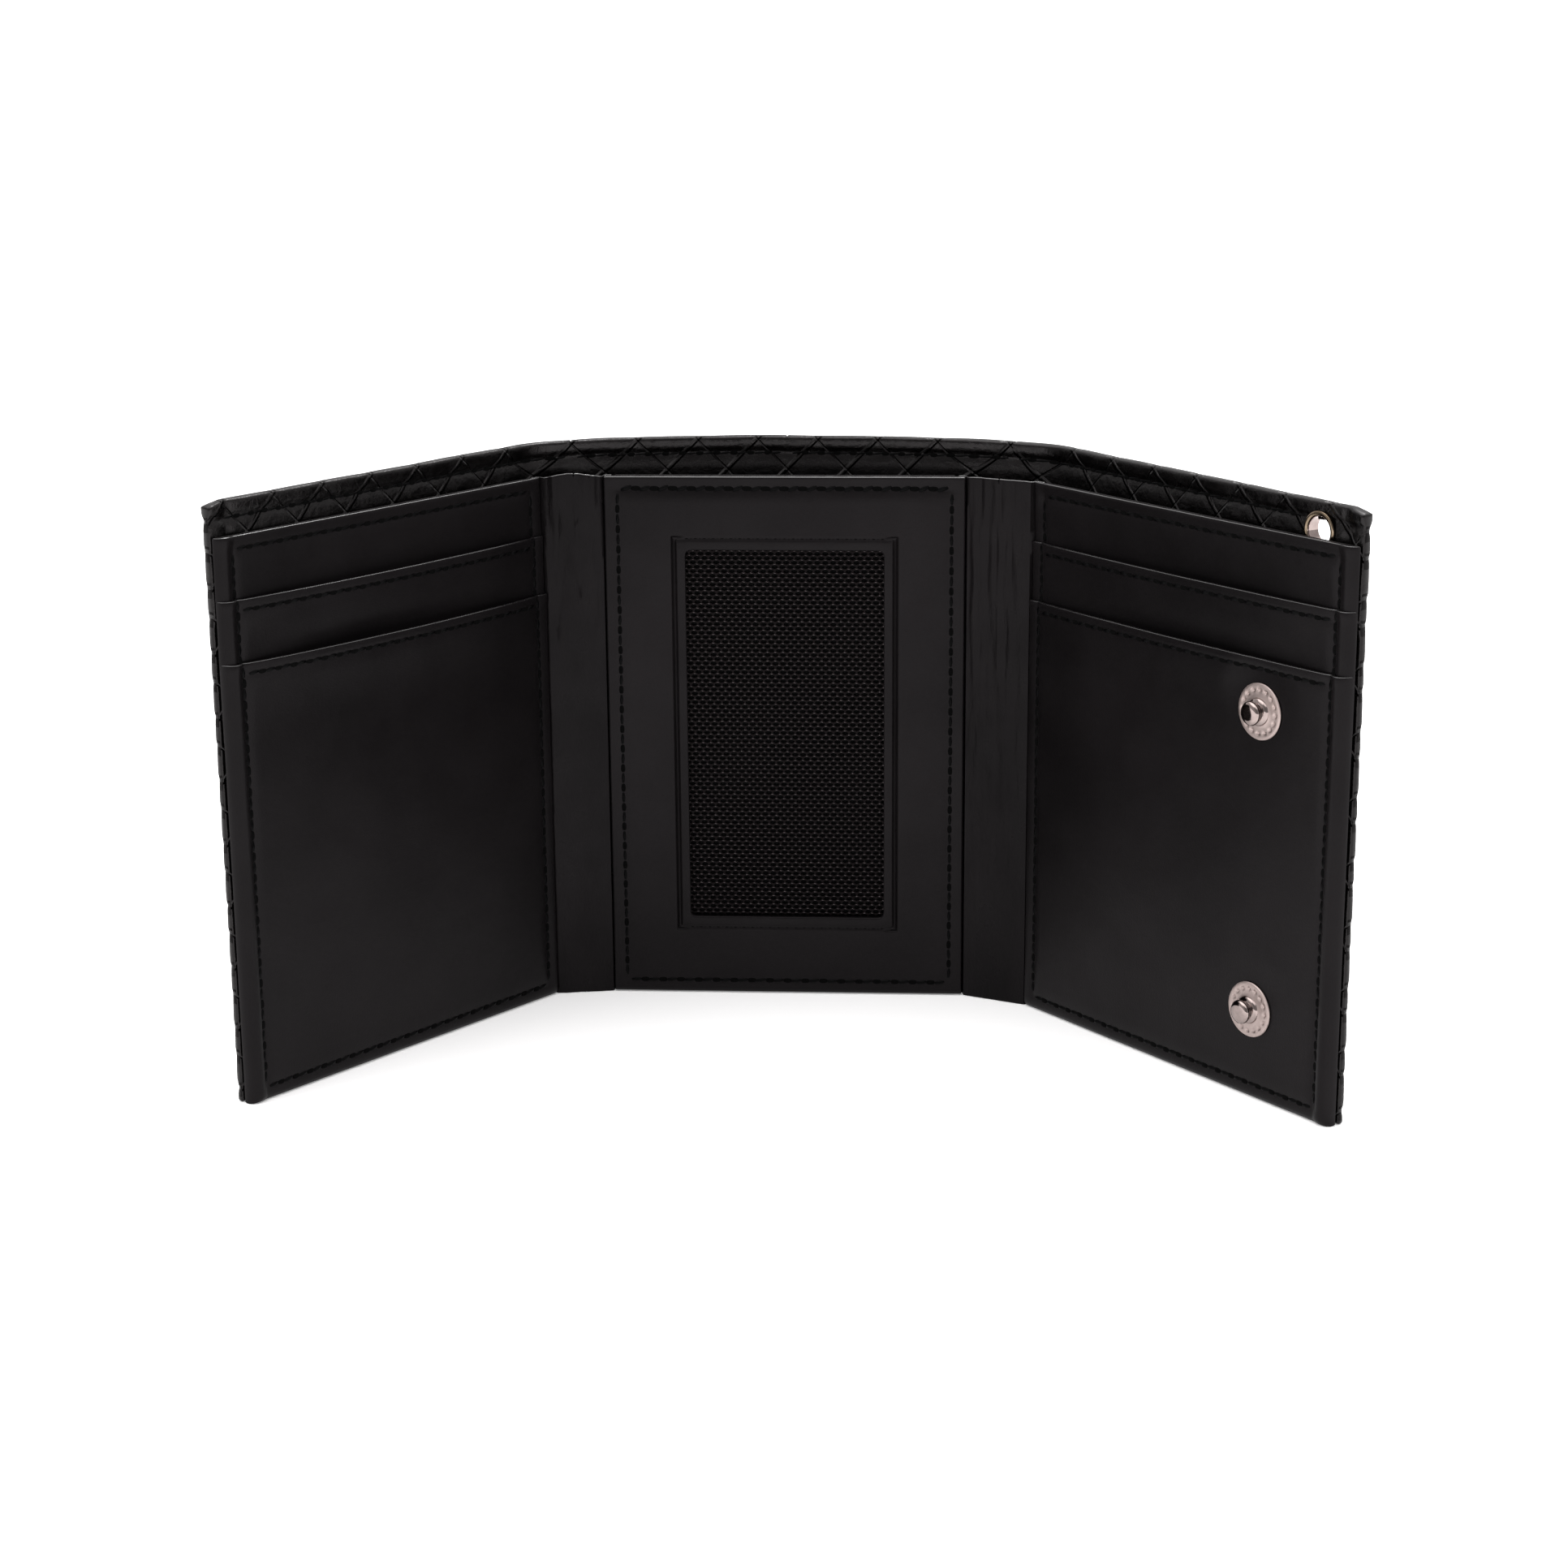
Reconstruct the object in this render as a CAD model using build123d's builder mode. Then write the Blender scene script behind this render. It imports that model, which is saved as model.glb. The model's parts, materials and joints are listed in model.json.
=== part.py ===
from build123d import *
import os
from math import cos, radians, sin

os.makedirs("parts", exist_ok=True)

# A trifold wallet standing on its lower edge, half open, in millimetres.
# The origin is on the lower edge of the middle panel's front, halfway between its creases.
# +X runs to the right, +Y to the back, where the outer cover is, and +Z up.
# Each panel has a front plane. Its layers lie behind that plane, at the depths given below.

# ---- Driving dimensions ----
interior_height = 102.0
cover_height = 108.0
center_width = 68.0
left_strip_width = 10.9
right_strip_width = 12.9
left_panel_length = 76.9
right_panel_length = 79.7
crease_gap = 0.15

# Turn of each part away from the middle panel, as the wallet stands half open, in degrees
left_strip_turn = 10.0
left_panel_turn = 52.7
right_strip_turn = 23.5
right_panel_turn = 50.0

# Layers, as depths behind the front plane
pocket_leather = 0.6
pocket_heights = {1: interior_height, 2: 91.0, 3: 80.0}
window_leather = 0.8
mesh_back = 1.1
pockets_back = 3 * pocket_leather
backing_back = 2.1
divider_back = 2.4
hem_back = 2.7
lining_back = 3.0
cover_back = 4.0
strip_front = 0.6

# The cover stands straight up to lean_start, and leans back from there to its top edge
lean_start = 20.0
facing_bottom = 88.0
lean_center = 8.1
lean_crease = 4.5
lean_left_fold = 1.9
lean_free_edge = 0.6
hem_width = 8.0
tuck = 0.5
inner_corner = 1.2
cover_corner = 2.5

# Window of the middle panel
window_width = 37.4
window_bottom = 15.7
window_top = 88.0
window_corner = 1.8
window_seam = 2.2
mesh_margin = 4.0
pocket_hem_width = 5.0

# Thread lies proud of the leather as thin bars, one for each seam
thread_width = 0.5
thread_height = 0.25
seam_inset = 2.6
free_seam_inset = 3.4
mouth_seam_inset = 1.8
seam_clearance = 0.3

# Snap fasteners: studs inside the right panel, sockets on the left panel's cover
snap_heights = {"upper": 70.6, "lower": 16.5}
stud_from_fold = 60.5
stud_flange_radius = 5.0
stud_height = 3.1
stud_play = 0.3
stem_radius = 1.1
stud_back_radius = 4.0
stud_back_thickness = 0.3
hole_clearance = 0.05
socket_radius = 5.75
socket_bore = 2.75
socket_wall = 0.4
socket_lip = 0.06
upper_socket_height = 0.9
lower_socket_height = 1.8
socket_cap_radius = 4.2
socket_cap_thickness = 0.35

# Eyelet for a wallet chain, in the right panel's cover
eyelet_from_fold = 69.3
eyelet_z = 102.9
eyelet_bore = 2.5
eyelet_wall = 0.3
eyelet_flange_radius = 3.45
eyelet_flange_thickness = 0.4
eyelet_play = 0.3


# ---- Panels and their planes ----
def front_plane(x, y, turn):
    """The front plane of a panel: local X along the panel, local Y up, facing the inside of the wallet."""
    along = (cos(radians(turn)), sin(radians(turn)), 0)
    facing = (sin(radians(turn)), -cos(radians(turn)), 0)
    return Plane(origin=(x, y, 0), x_dir=along, z_dir=facing)


half = center_width / 2
left_fold = (
    -half - left_strip_width * cos(radians(left_strip_turn)),
    -left_strip_width * sin(radians(left_strip_turn)),
)
right_fold = (
    half + right_strip_width * cos(radians(right_strip_turn)),
    -right_strip_width * sin(radians(right_strip_turn)),
)
center = front_plane(0, 0, 0)
left_strip = front_plane(-half, 0, left_strip_turn)
right_strip = front_plane(half, 0, -right_strip_turn)
left_panel = front_plane(*left_fold, left_panel_turn)
right_panel = front_plane(*right_fold, -right_panel_turn)

# Stretch of each panel along its local X
center_span = (-half + crease_gap, half - crease_gap)
left_strip_span = (-left_strip_width + crease_gap, -crease_gap)
right_strip_span = (crease_gap, right_strip_width - crease_gap)
left_span = (-left_panel_length, -crease_gap)
right_span = (crease_gap, right_panel_length)

# When the wallet is shut each strip has turned by its share of a half turn. The two side panels'
# front planes are then shut_gap apart, and the studs are over the left panel at socket_from_fold
left_strip_shut = 180 * left_strip_turn / left_panel_turn
right_strip_shut = 180 * right_strip_turn / right_panel_turn
stud_x_shut = half + right_strip_width * cos(radians(right_strip_shut)) - stud_from_fold
left_fold_x_shut = -half - left_strip_width * cos(radians(left_strip_shut))
socket_from_fold = stud_x_shut - left_fold_x_shut
shut_gap = right_strip_width * sin(radians(right_strip_shut)) - left_strip_width * sin(
    radians(left_strip_shut)
)


# ---- Shapes that repeat ----
def save(part, name):
    """Labels a finished piece and writes its STEP file."""
    part.part.label = name
    export_step(part.part, f"parts/{name}.step")


def ply(plane, span, low, high, front, back, free_side=None):
    """A flat sheet of leather or cloth. free_side rounds its corners at the span's first or last end."""
    with BuildPart() as sheet:
        with BuildSketch(plane.offset(-front)) as outline:
            with Locations((sum(span) / 2, (low + high) / 2)):
                Rectangle(span[1] - span[0], high - low)
            if free_side is not None:
                fillet(outline.vertices().group_by(Axis.X)[free_side], inner_corner)
        extrude(amount=front - back)
    return sheet


def lean_at(z, lean_top):
    """How far the cover has leaned back at height z, for its lean at the top edge."""
    return lean_top * max(0.0, z - lean_start) / (cover_height - lean_start)


def leaning_wall(plane, stations, low, high, front, back):
    """A wall that leans back. stations are (distance along the panel, lean at the top edge)."""
    levels = [low, high]
    if low < lean_start < high:
        levels = [low, lean_start, high]
    with BuildPart() as wall:
        for along, lean_top in stations:
            start = plane.from_local_coords(Vector(along, 0, 0))
            with BuildSketch(Plane(origin=start, x_dir=-plane.z_dir, z_dir=plane.x_dir)):
                with BuildLine():
                    Polyline(
                        *[(front + lean_at(z, lean_top), z) for z in levels],
                        *[(back + lean_at(z, lean_top), z) for z in reversed(levels)],
                        close=True,
                    )
                make_face()
        loft(ruled=True)
    return wall


def with_holes(part, plane, places, radius, front=0, depth=20):
    """The layer with round holes, or round dents, of that depth below front. places are (name, along, z)."""
    with BuildPart() as drilled:
        add(part)
        with BuildSketch(plane.offset(-front)):
            with Locations(*[(along, z) for _, along, z in places]):
                Circle(radius)
        extrude(amount=-depth, mode=Mode.SUBTRACT)
    return drilled


def with_round_corners(part, plane, span, free_side):
    """The leaning wall with its free corners rounded."""
    with BuildPart() as rounded:
        add(part)
        with BuildSketch(plane) as outline:
            with Locations((sum(span) / 2, cover_height / 2)):
                Rectangle(span[1] - span[0], cover_height)
            fillet(outline.vertices().group_by(Axis.X)[free_side], cover_corner)
        extrude(amount=-20, mode=Mode.INTERSECT)
    return rounded


def turned(plane, along, z, profile):
    """A turned metal piece on a panel. profile is (radius, height), with height in front of the front plane."""
    foot = plane.from_local_coords(Vector(along, z, 0))
    with BuildPart() as metal:
        with BuildSketch(Plane(origin=foot, x_dir=plane.x_dir, z_dir=(0, 0, -1))):
            with BuildLine():
                Polyline(*profile, close=True)
            make_face()
        revolve(axis=Axis(foot, plane.z_dir))
    return metal


def stitching(plane, seams):
    """Seams as thin bars of thread. A seam is (start, end, low, high, depth of the leather it lies on)."""
    with BuildPart() as thread:
        for start, end, low, high, depth in seams:
            with BuildSketch(plane.offset(-depth)):
                with Locations(((start + end) / 2, (low + high) / 2)):
                    Rectangle(max(end - start, thread_width), max(high - low, thread_width))
            extrude(amount=thread_height)
    return thread


def frame_seams(start, end, low, high, depth):
    """Four seams round a rectangle, that don't touch at its corners."""
    gap = seam_clearance + thread_width / 2
    return [
        (start, end, low, low, depth),
        (start, end, high, high, depth),
        (start, start, low + gap, high - gap, depth),
        (end, end, low + gap, high - gap, depth),
    ]


# ---- Middle panel: identity card window over the bill compartment ----
window_height = window_top - window_bottom
with BuildPart() as id_window_panel:
    with BuildSketch(center):
        with Locations((0, interior_height / 2)):
            Rectangle(center_span[1] - center_span[0], interior_height)
        with Locations((0, window_bottom + window_height / 2)):
            RectangleRounded(window_width, window_height, window_corner, mode=Mode.SUBTRACT)
    extrude(amount=-window_leather)
save(id_window_panel, "id_window_panel")

mesh_span = (-window_width / 2 - mesh_margin, window_width / 2 + mesh_margin)
id_window_mesh = ply(
    center, mesh_span, window_bottom - mesh_margin, window_top + mesh_margin, window_leather, mesh_back
)
save(id_window_mesh, "id_window_mesh")

# The panel's side and lower edges are turned under, which leaves a card slot open at the top
with BuildPart() as id_pocket_turned_edge:
    with BuildSketch(center.offset(-window_leather)):
        with Locations((0, interior_height / 2)):
            Rectangle(center_span[1] - center_span[0], interior_height)
        with Locations((0, interior_height / 2 + pocket_hem_width)):
            Rectangle(center_width - 2 * pocket_hem_width, interior_height, mode=Mode.SUBTRACT)
    extrude(amount=window_leather - pockets_back)
save(id_pocket_turned_edge, "id_pocket_turned_edge")

save(ply(center, center_span, 0, interior_height, pockets_back, backing_back), "id_pocket_backing")
save(ply(center, center_span, 0, interior_height, backing_back, divider_back), "center_bill_divider")

window_seams = frame_seams(
    -window_width / 2 - window_seam,
    window_width / 2 + window_seam,
    window_bottom - window_seam,
    window_top + window_seam,
    0,
)
panel_seams = frame_seams(
    -half + seam_inset, half - seam_inset, seam_inset, interior_height - seam_inset, 0
)
save(stitching(center, panel_seams + window_seams), "center_stitching")


# ---- Fold strips between the panels ----
for side, plane, span in (
    ("left", left_strip, left_strip_span),
    ("right", right_strip, right_strip_span),
):
    save(ply(plane, span, 0, interior_height, strip_front, pockets_back), f"{side}_spine_strip")
    save(
        ply(plane, span, 0, interior_height, pockets_back, divider_back),
        f"{side}_spine_bill_divider",
    )


# ---- Card pockets of the side panels ----
def snap_places(from_fold, side):
    """The two snaps of a side panel, as name, distance along the panel and height."""
    return [(name, from_fold * side, z) for name, z in snap_heights.items()]


studs = snap_places(stud_from_fold, 1)
sockets = snap_places(socket_from_fold, -1)
eyelet_place = [("chain_eyelet", eyelet_from_fold, eyelet_z)]

for side, plane, span, free_side in (
    ("left", left_panel, left_span, 0),
    ("right", right_panel, right_span, -1),
):
    for number, height in pocket_heights.items():
        front = (3 - number) * pocket_leather
        pocket = ply(plane, span, 0, height, front, front + pocket_leather, free_side)
        if side == "right" and number == 3:
            pocket = with_holes(pocket, plane, studs, stem_radius + hole_clearance)
        if side == "right" and number == 2:
            # The leather is dented where the back of each stud presses on it
            dent_radius = stud_back_radius + 4 * hole_clearance
            dent_depth = stud_back_thickness + hole_clearance
            pocket = with_holes(pocket, plane, studs, dent_radius, front, dent_depth)
        save(pocket, f"{side}_card_pocket_{number}")
    save(
        ply(plane, span, 0, interior_height, pockets_back, divider_back, free_side),
        f"{side}_bill_divider",
    )

    # Seams: along each pocket's mouth, up both sides of each visible strip, and along the bottom
    insets = (free_seam_inset, seam_inset) if side == "left" else (seam_inset, free_seam_inset)
    low_x, high_x = span[0] + insets[0], span[1] - insets[1]
    seams = [(low_x, high_x, seam_inset, seam_inset, 0)]
    gap = seam_clearance + thread_width / 2
    covered = {3: seam_inset, 2: pocket_heights[3], 1: pocket_heights[2]}
    for number, height in pocket_heights.items():
        depth = (3 - number) * pocket_leather
        mouth = height - mouth_seam_inset
        seams.append((low_x, high_x, mouth, mouth, depth))
        seams.append((low_x, low_x, covered[number] + gap, mouth - gap, depth))
        seams.append((high_x, high_x, covered[number] + gap, mouth - gap, depth))
    save(stitching(plane, seams), f"{side}_stitching")


# ---- Outer cover, with its turned hem, its cloth lining and the leather facing inside its top edge ----
center_leans = [(center_span[0], lean_crease), (0, lean_center), (center_span[1], lean_crease)]
sections = {
    "center": (center, center_leans, None),
    "left_spine": (
        left_strip,
        [(left_strip_span[0], lean_left_fold), (left_strip_span[1], lean_crease)],
        None,
    ),
    "right_spine": (
        right_strip,
        [(right_strip_span[0], lean_crease), (right_strip_span[1], lean_crease)],
        None,
    ),
    "left": (left_panel, [(left_span[0], lean_free_edge), (left_span[1], lean_left_fold)], 0),
    "right": (right_panel, [(right_span[0], lean_crease), (right_span[1], lean_free_edge)], -1),
}

for name, (plane, stations, free_side) in sections.items():
    span = (stations[0][0], stations[-1][0])

    # The hem runs along the bottom, and up the free edge of a side panel
    with BuildPart() as hem:
        with BuildSketch(plane.offset(-divider_back)):
            with Locations((sum(span) / 2, tuck + (hem_width - tuck) / 2)):
                Rectangle(span[1] - span[0], hem_width - tuck)
            if free_side is not None:
                edge = span[0] + hem_width / 2 if free_side == 0 else span[1] - hem_width / 2
                with Locations((edge, interior_height / 2)):
                    Rectangle(hem_width, interior_height - 2 * inner_corner)
        extrude(amount=divider_back - hem_back)
    save(hem, f"{name}_cover_hem")

    lining = leaning_wall(plane, stations, tuck, facing_bottom, hem_back, lining_back)
    facing = leaning_wall(plane, stations, facing_bottom, cover_height, hem_back, lining_back)
    cover = leaning_wall(plane, stations, 0, cover_height, lining_back, cover_back)
    if free_side is not None:
        facing = with_round_corners(facing, plane, span, free_side)
        cover = with_round_corners(cover, plane, span, free_side)
    if name == "left":
        lining = with_holes(lining, plane, sockets, socket_cap_radius + 2 * hole_clearance)
        cover = with_holes(cover, plane, sockets, socket_bore + socket_wall + hole_clearance)
    if name == "right":
        eyelet_hole = eyelet_bore + eyelet_wall + hole_clearance
        facing = with_holes(facing, plane, eyelet_place, eyelet_hole)
        cover = with_holes(cover, plane, eyelet_place, eyelet_hole)
    save(lining, f"{name}_cover_lining")
    save(facing, f"{name}_cover_facing")
    save(cover, f"{name}_cover")


# ---- Snap studs: a flanged post riveted through the front pocket, with a flat back ----
stud_profile = [
    (0, -pocket_leather),
    (stem_radius, -pocket_leather),
    (stem_radius, 0),
    (stud_flange_radius, 0),
    (stud_flange_radius, 0.3),
    (stud_flange_radius - 0.4, 0.6),
    (2.35, 0.6),
    (2.2, 1.3),
    (1.35, 1.7),
    (1.75, 2.2),
    (1.75, 2.7),
    (1.3, stud_height),
    (0, stud_height),
]
stud_back_end = -pocket_leather - stud_back_thickness
stud_back_profile = [
    (0, -pocket_leather),
    (stud_back_radius, -pocket_leather),
    (stud_back_radius, stud_back_end),
    (0, stud_back_end),
]
for name, along, z in studs:
    save(turned(right_panel, along, z, stud_profile), f"snap_stud_{name}")
    save(turned(right_panel, along, z, stud_back_profile), f"snap_stud_back_{name}")


# ---- Snap sockets: a ring on the cover, its tube through the leather, and a cap that closes it ----
def lean_on(stations, along, z):
    """How far a side panel's cover has leaned back at a place on it."""
    (start, first), (end, last) = stations
    top = first + (last - first) * (along - start) / (end - start)
    return lean_at(z, top)


socket_heights = {"upper": upper_socket_height, "lower": lower_socket_height}
left_stations = sections["left"][1]
for name, along, z in sockets:
    seat = cover_back + lean_on(left_stations, along, z + socket_radius) + socket_lip
    rim = seat + socket_heights[name]
    cap_back = min(
        lining_back + lean_on(left_stations, along, z - socket_radius),
        shut_gap - stud_height - stud_play,
    )
    cap_front = cap_back - socket_cap_thickness
    tube = socket_bore + socket_wall
    socket_profile = [
        (socket_bore, -cap_back),
        (tube, -cap_back),
        (tube, -seat),
        (socket_radius, -seat),
        (socket_radius, -seat - 0.4),
        (socket_radius - 0.5, -rim),
        (socket_bore, -rim),
    ]
    cap_profile = [
        (0, -cap_back),
        (socket_cap_radius, -cap_back),
        (socket_cap_radius, -cap_front),
        (0, -cap_front),
    ]
    save(turned(left_panel, along, z, socket_profile), f"snap_socket_{name}")
    save(turned(left_panel, along, z, cap_profile), f"snap_socket_cap_{name}")


# ---- Chain eyelet: a flanged barrel through cover and facing, and the washer it is set against ----
eyelet_lean = lean_on(sections["right"][1], eyelet_from_fold, eyelet_z)
eyelet_seat = hem_back + eyelet_lean - eyelet_play
eyelet_front = eyelet_seat - eyelet_flange_thickness
washer_front = cover_back + eyelet_lean + eyelet_play
washer_back = washer_front + 0.35
barrel = eyelet_bore + eyelet_wall
eyelet_profile = [
    (eyelet_bore, -eyelet_front),
    (eyelet_flange_radius, -eyelet_front),
    (eyelet_flange_radius, -eyelet_seat),
    (barrel, -eyelet_seat),
    (barrel, -washer_back),
    (eyelet_bore, -washer_back),
]
washer_profile = [
    (barrel + hole_clearance, -washer_front),
    (eyelet_flange_radius, -washer_front),
    (eyelet_flange_radius, -washer_back),
    (barrel + hole_clearance, -washer_back),
]
save(turned(right_panel, eyelet_from_fold, eyelet_z, eyelet_profile), "chain_eyelet")
save(turned(right_panel, eyelet_from_fold, eyelet_z, washer_profile), "chain_eyelet_washer")
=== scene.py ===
"""Trifold wallet: its leather, cloth, net, thread and metal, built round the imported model."""

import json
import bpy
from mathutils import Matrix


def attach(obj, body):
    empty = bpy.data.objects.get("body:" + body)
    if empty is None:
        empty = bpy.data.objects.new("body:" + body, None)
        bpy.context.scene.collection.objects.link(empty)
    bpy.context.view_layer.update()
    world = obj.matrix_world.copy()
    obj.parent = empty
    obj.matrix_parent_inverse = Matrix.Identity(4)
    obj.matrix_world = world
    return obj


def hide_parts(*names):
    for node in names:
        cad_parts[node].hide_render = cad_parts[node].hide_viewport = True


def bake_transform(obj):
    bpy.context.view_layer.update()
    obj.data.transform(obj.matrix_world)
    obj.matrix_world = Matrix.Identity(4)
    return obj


bl_info = {
    "name": "Trifold Wallet",
    "version": (1, 0, 0),
    "blender": (4, 5, 0),
    "location": "View3D > Sidebar > Wallet",
    "description": "Builds a trifold wallet with card pockets, a net window and a woven cover",
    "category": "Object",
}

from math import atan2, cos, exp, floor, hypot, pi, radians, sin, sqrt

import bpy
from bpy.props import FloatProperty, FloatVectorProperty, IntProperty, PointerProperty
from mathutils import Matrix, Vector, noise

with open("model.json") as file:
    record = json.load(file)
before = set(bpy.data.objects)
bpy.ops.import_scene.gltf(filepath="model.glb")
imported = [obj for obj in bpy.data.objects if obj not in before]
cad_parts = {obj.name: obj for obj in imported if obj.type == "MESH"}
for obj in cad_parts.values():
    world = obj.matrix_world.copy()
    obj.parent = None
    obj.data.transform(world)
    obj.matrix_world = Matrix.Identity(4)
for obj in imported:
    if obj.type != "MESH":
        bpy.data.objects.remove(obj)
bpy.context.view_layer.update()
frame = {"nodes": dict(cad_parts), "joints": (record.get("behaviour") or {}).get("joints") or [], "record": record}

MM = 0.001

# ---------------------------------------------------------------------------------------------
# The five sections of the wallet. s runs from left to right over the opened leather, d from a
# section's front face to the back, z up, all in millimetres


def fold_place(name):
    joint = next(j for j in frame["joints"] if j["name"] == name)
    return Vector(joint["pos_m"]) / MM


def fold_turn(name):
    """How far this fold has to turn back for its panel to lie flat with the next section."""
    joint = next(j for j in frame["joints"] if j["name"] == name)
    return radians(abs(joint["range_deg"][0]))


LEFT_CREASE = fold_place("left_spine_fold")
LEFT_FOLD = fold_place("left_panel_fold")
RIGHT_CREASE = fold_place("right_spine_fold")
RIGHT_FOLD = fold_place("right_panel_fold")
LEFT_STRIP = (LEFT_CREASE - LEFT_FOLD).length
RIGHT_STRIP = (RIGHT_FOLD - RIGHT_CREASE).length
LEFT_STRIP_TURN = atan2(LEFT_CREASE.y - LEFT_FOLD.y, LEFT_CREASE.x - LEFT_FOLD.x)
RIGHT_STRIP_TURN = atan2(RIGHT_FOLD.y - RIGHT_CREASE.y, RIGHT_FOLD.x - RIGHT_CREASE.x)

# origin, s there, and turn about Z
SECTIONS = {
    "center": (Vector((0, 0, 0)), 0.0, 0.0),
    "left_spine": (LEFT_CREASE, LEFT_CREASE.x, LEFT_STRIP_TURN),
    "left_panel": (
        LEFT_FOLD,
        LEFT_CREASE.x - LEFT_STRIP,
        LEFT_STRIP_TURN + fold_turn("left_panel_fold"),
    ),
    "right_spine": (RIGHT_CREASE, RIGHT_CREASE.x, RIGHT_STRIP_TURN),
    "right_panel": (
        RIGHT_FOLD,
        RIGHT_CREASE.x + RIGHT_STRIP,
        RIGHT_STRIP_TURN - fold_turn("right_panel_fold"),
    ),
}
CREASES = {
    ("left_panel", "left_spine"): LEFT_CREASE.x - LEFT_STRIP,
    ("left_spine", "center"): LEFT_CREASE.x,
    ("center", "right_spine"): RIGHT_CREASE.x,
    ("right_spine", "right_panel"): RIGHT_CREASE.x + RIGHT_STRIP,
}
LEFT_MIDDLE = LEFT_CREASE.x - LEFT_STRIP / 2
RIGHT_MIDDLE = RIGHT_CREASE.x + RIGHT_STRIP / 2


def directions(section):
    turn = SECTIONS[section][2]
    return Vector((cos(turn), sin(turn), 0)), Vector((-sin(turn), cos(turn), 0))


def place(section, s, d, z):
    """A point of a section, in metres."""
    origin, start = SECTIONS[section][:2]
    along, back = directions(section)
    return (origin + along * (s - start) + back * d + Vector((0, 0, z))) * MM


def span(node, section):
    """The node's stretch in s, d and z, as three pairs."""
    origin, start = SECTIONS[section][:2]
    along, back = directions(section)
    points = []
    for vertex in frame["nodes"][node].data.vertices:
        offset = vertex.co / MM - origin
        points.append((start + offset.dot(along), offset.dot(back), offset.z))
    return [(min(axis), max(axis)) for axis in zip(*points)]


def ease(t):
    t = min(max(t, 0.0), 1.0)
    return t * t * (3 - 2 * t)


def bump(distance, width):
    return exp(-((distance / width) ** 2))


def rigid(section):
    return lambda s, d, z: place(section, s, d, z)


def bent(left, right, reach):
    """Places points of the leather that turns from one section into the next."""
    crease = CREASES[left, right]

    def put(s, d, z):
        share = ease((s - crease + reach) / (2 * reach))
        return place(left, s, d, z).lerp(place(right, s, d, z), share)

    return put


def bend_piece(obj, left, right, reach, depth):
    crease = CREASES[left, right]
    start = place(left, crease - reach, depth, 0)
    end = place(right, crease + reach, depth, 0)
    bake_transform(obj)


# ---------------------------------------------------------------------------------------------
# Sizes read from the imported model

WINDOW = span("id_window_panel", "center")
HEIGHT = WINDOW[2][1]
COVER = span("center_cover", "center")
COVER_HEIGHT = COVER[2][1]
LEFT_END = span("left_card_pocket_3", "left_panel")[0][0]
RIGHT_END = span("right_card_pocket_3", "right_panel")[0][1]
PANEL_ENDS = {
    "left_panel": (LEFT_END, CREASES["left_panel", "left_spine"]),
    "right_panel": (CREASES["right_spine", "right_panel"], RIGHT_END),
}
FACING_BOTTOM = span("center_cover_facing", "center")[2][0]
SNAPS = {
    name: [sum(pair) / 2 for pair in span(f"snap_{name}", body)]
    for name, body in (
        ("stud_upper", "right_panel"),
        ("stud_lower", "right_panel"),
        ("socket_upper", "left_panel"),
        ("socket_lower", "left_panel"),
    )
}
EYELET = span("chain_eyelet", "right_panel")
EYELET_S = sum(EYELET[0]) / 2
EYELET_Z = sum(EYELET[2]) / 2


def millimetres(name, default, description):
    return FloatProperty(
        name=name,
        default=default * MM,
        description=description,
        unit="LENGTH",
        subtype="DISTANCE",
        precision=5,
    )


def colour(name, default, description):
    return FloatVectorProperty(
        name=name, default=default, description=description, subtype="COLOR", size=3, min=0, max=1
    )


class WalletSizes(bpy.types.PropertyGroup):
    """Sizes of the wallet's leather, net and thread."""

    pocket_bow: millimetres("Pocket bow", 2.0, "How far a card pocket's mouth stands off")
    center_lean: millimetres("Middle lean", 8.1, "How far the cover's top leans back in the middle")
    crease_lean: millimetres("Crease lean", 4.5, "How far the cover's top leans back at the creases")
    left_fold_lean: millimetres("Left fold lean", 1.5, "How far the cover leans at the left fold")
    edge_lean: millimetres("Edge lean", 0.6, "How far the cover's top leans back at its free edges")
    window_width: millimetres("Window width", 37.4, "Width of the card window")
    window_bottom: millimetres("Window bottom", 15.7, "Height of the window's lower edge")
    window_top: millimetres("Window top", 88.0, "Height of the window's upper edge")
    window_corner: millimetres("Window corner", 1.0, "Radius of the window's corners")
    window_seam: millimetres("Window seam", 2.2, "Distance from the window to the line round it")
    net_width: millimetres("Net cell width", 1.47, "Distance between cells in a row of the net")
    net_height: millimetres("Net cell height", 0.85, "Distance between the rows of the net")
    strand: millimetres("Strand width", 8.0, "Width of a strand of the embossed weave")
    relief: millimetres("Weave relief", 0.4, "Depth of the embossed weave")
    stitch_pitch: millimetres("Stitch pitch", 3.4, "Distance from stitch to stitch")
    stitch_length: millimetres("Stitch length", 2.5, "Visible length of a stitch")
    thread: millimetres("Thread", 0.9, "Thickness of the sewing thread")
    side_seam: millimetres("Side seam", 2.5, "Distance of the seams from the folds")
    free_seam: millimetres("Free edge seam", 3.4, "Distance of the seam from a free edge")
    mouth_seam: millimetres("Mouth seam", 1.9, "Distance of the seam below a pocket's mouth")
    hem_seam: millimetres("Hem seam", 3.2, "Distance of the seam below the cover's top edge")
    dimples: IntProperty(name="Dimples", default=16, description="Dimples round a snap's flange")


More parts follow.
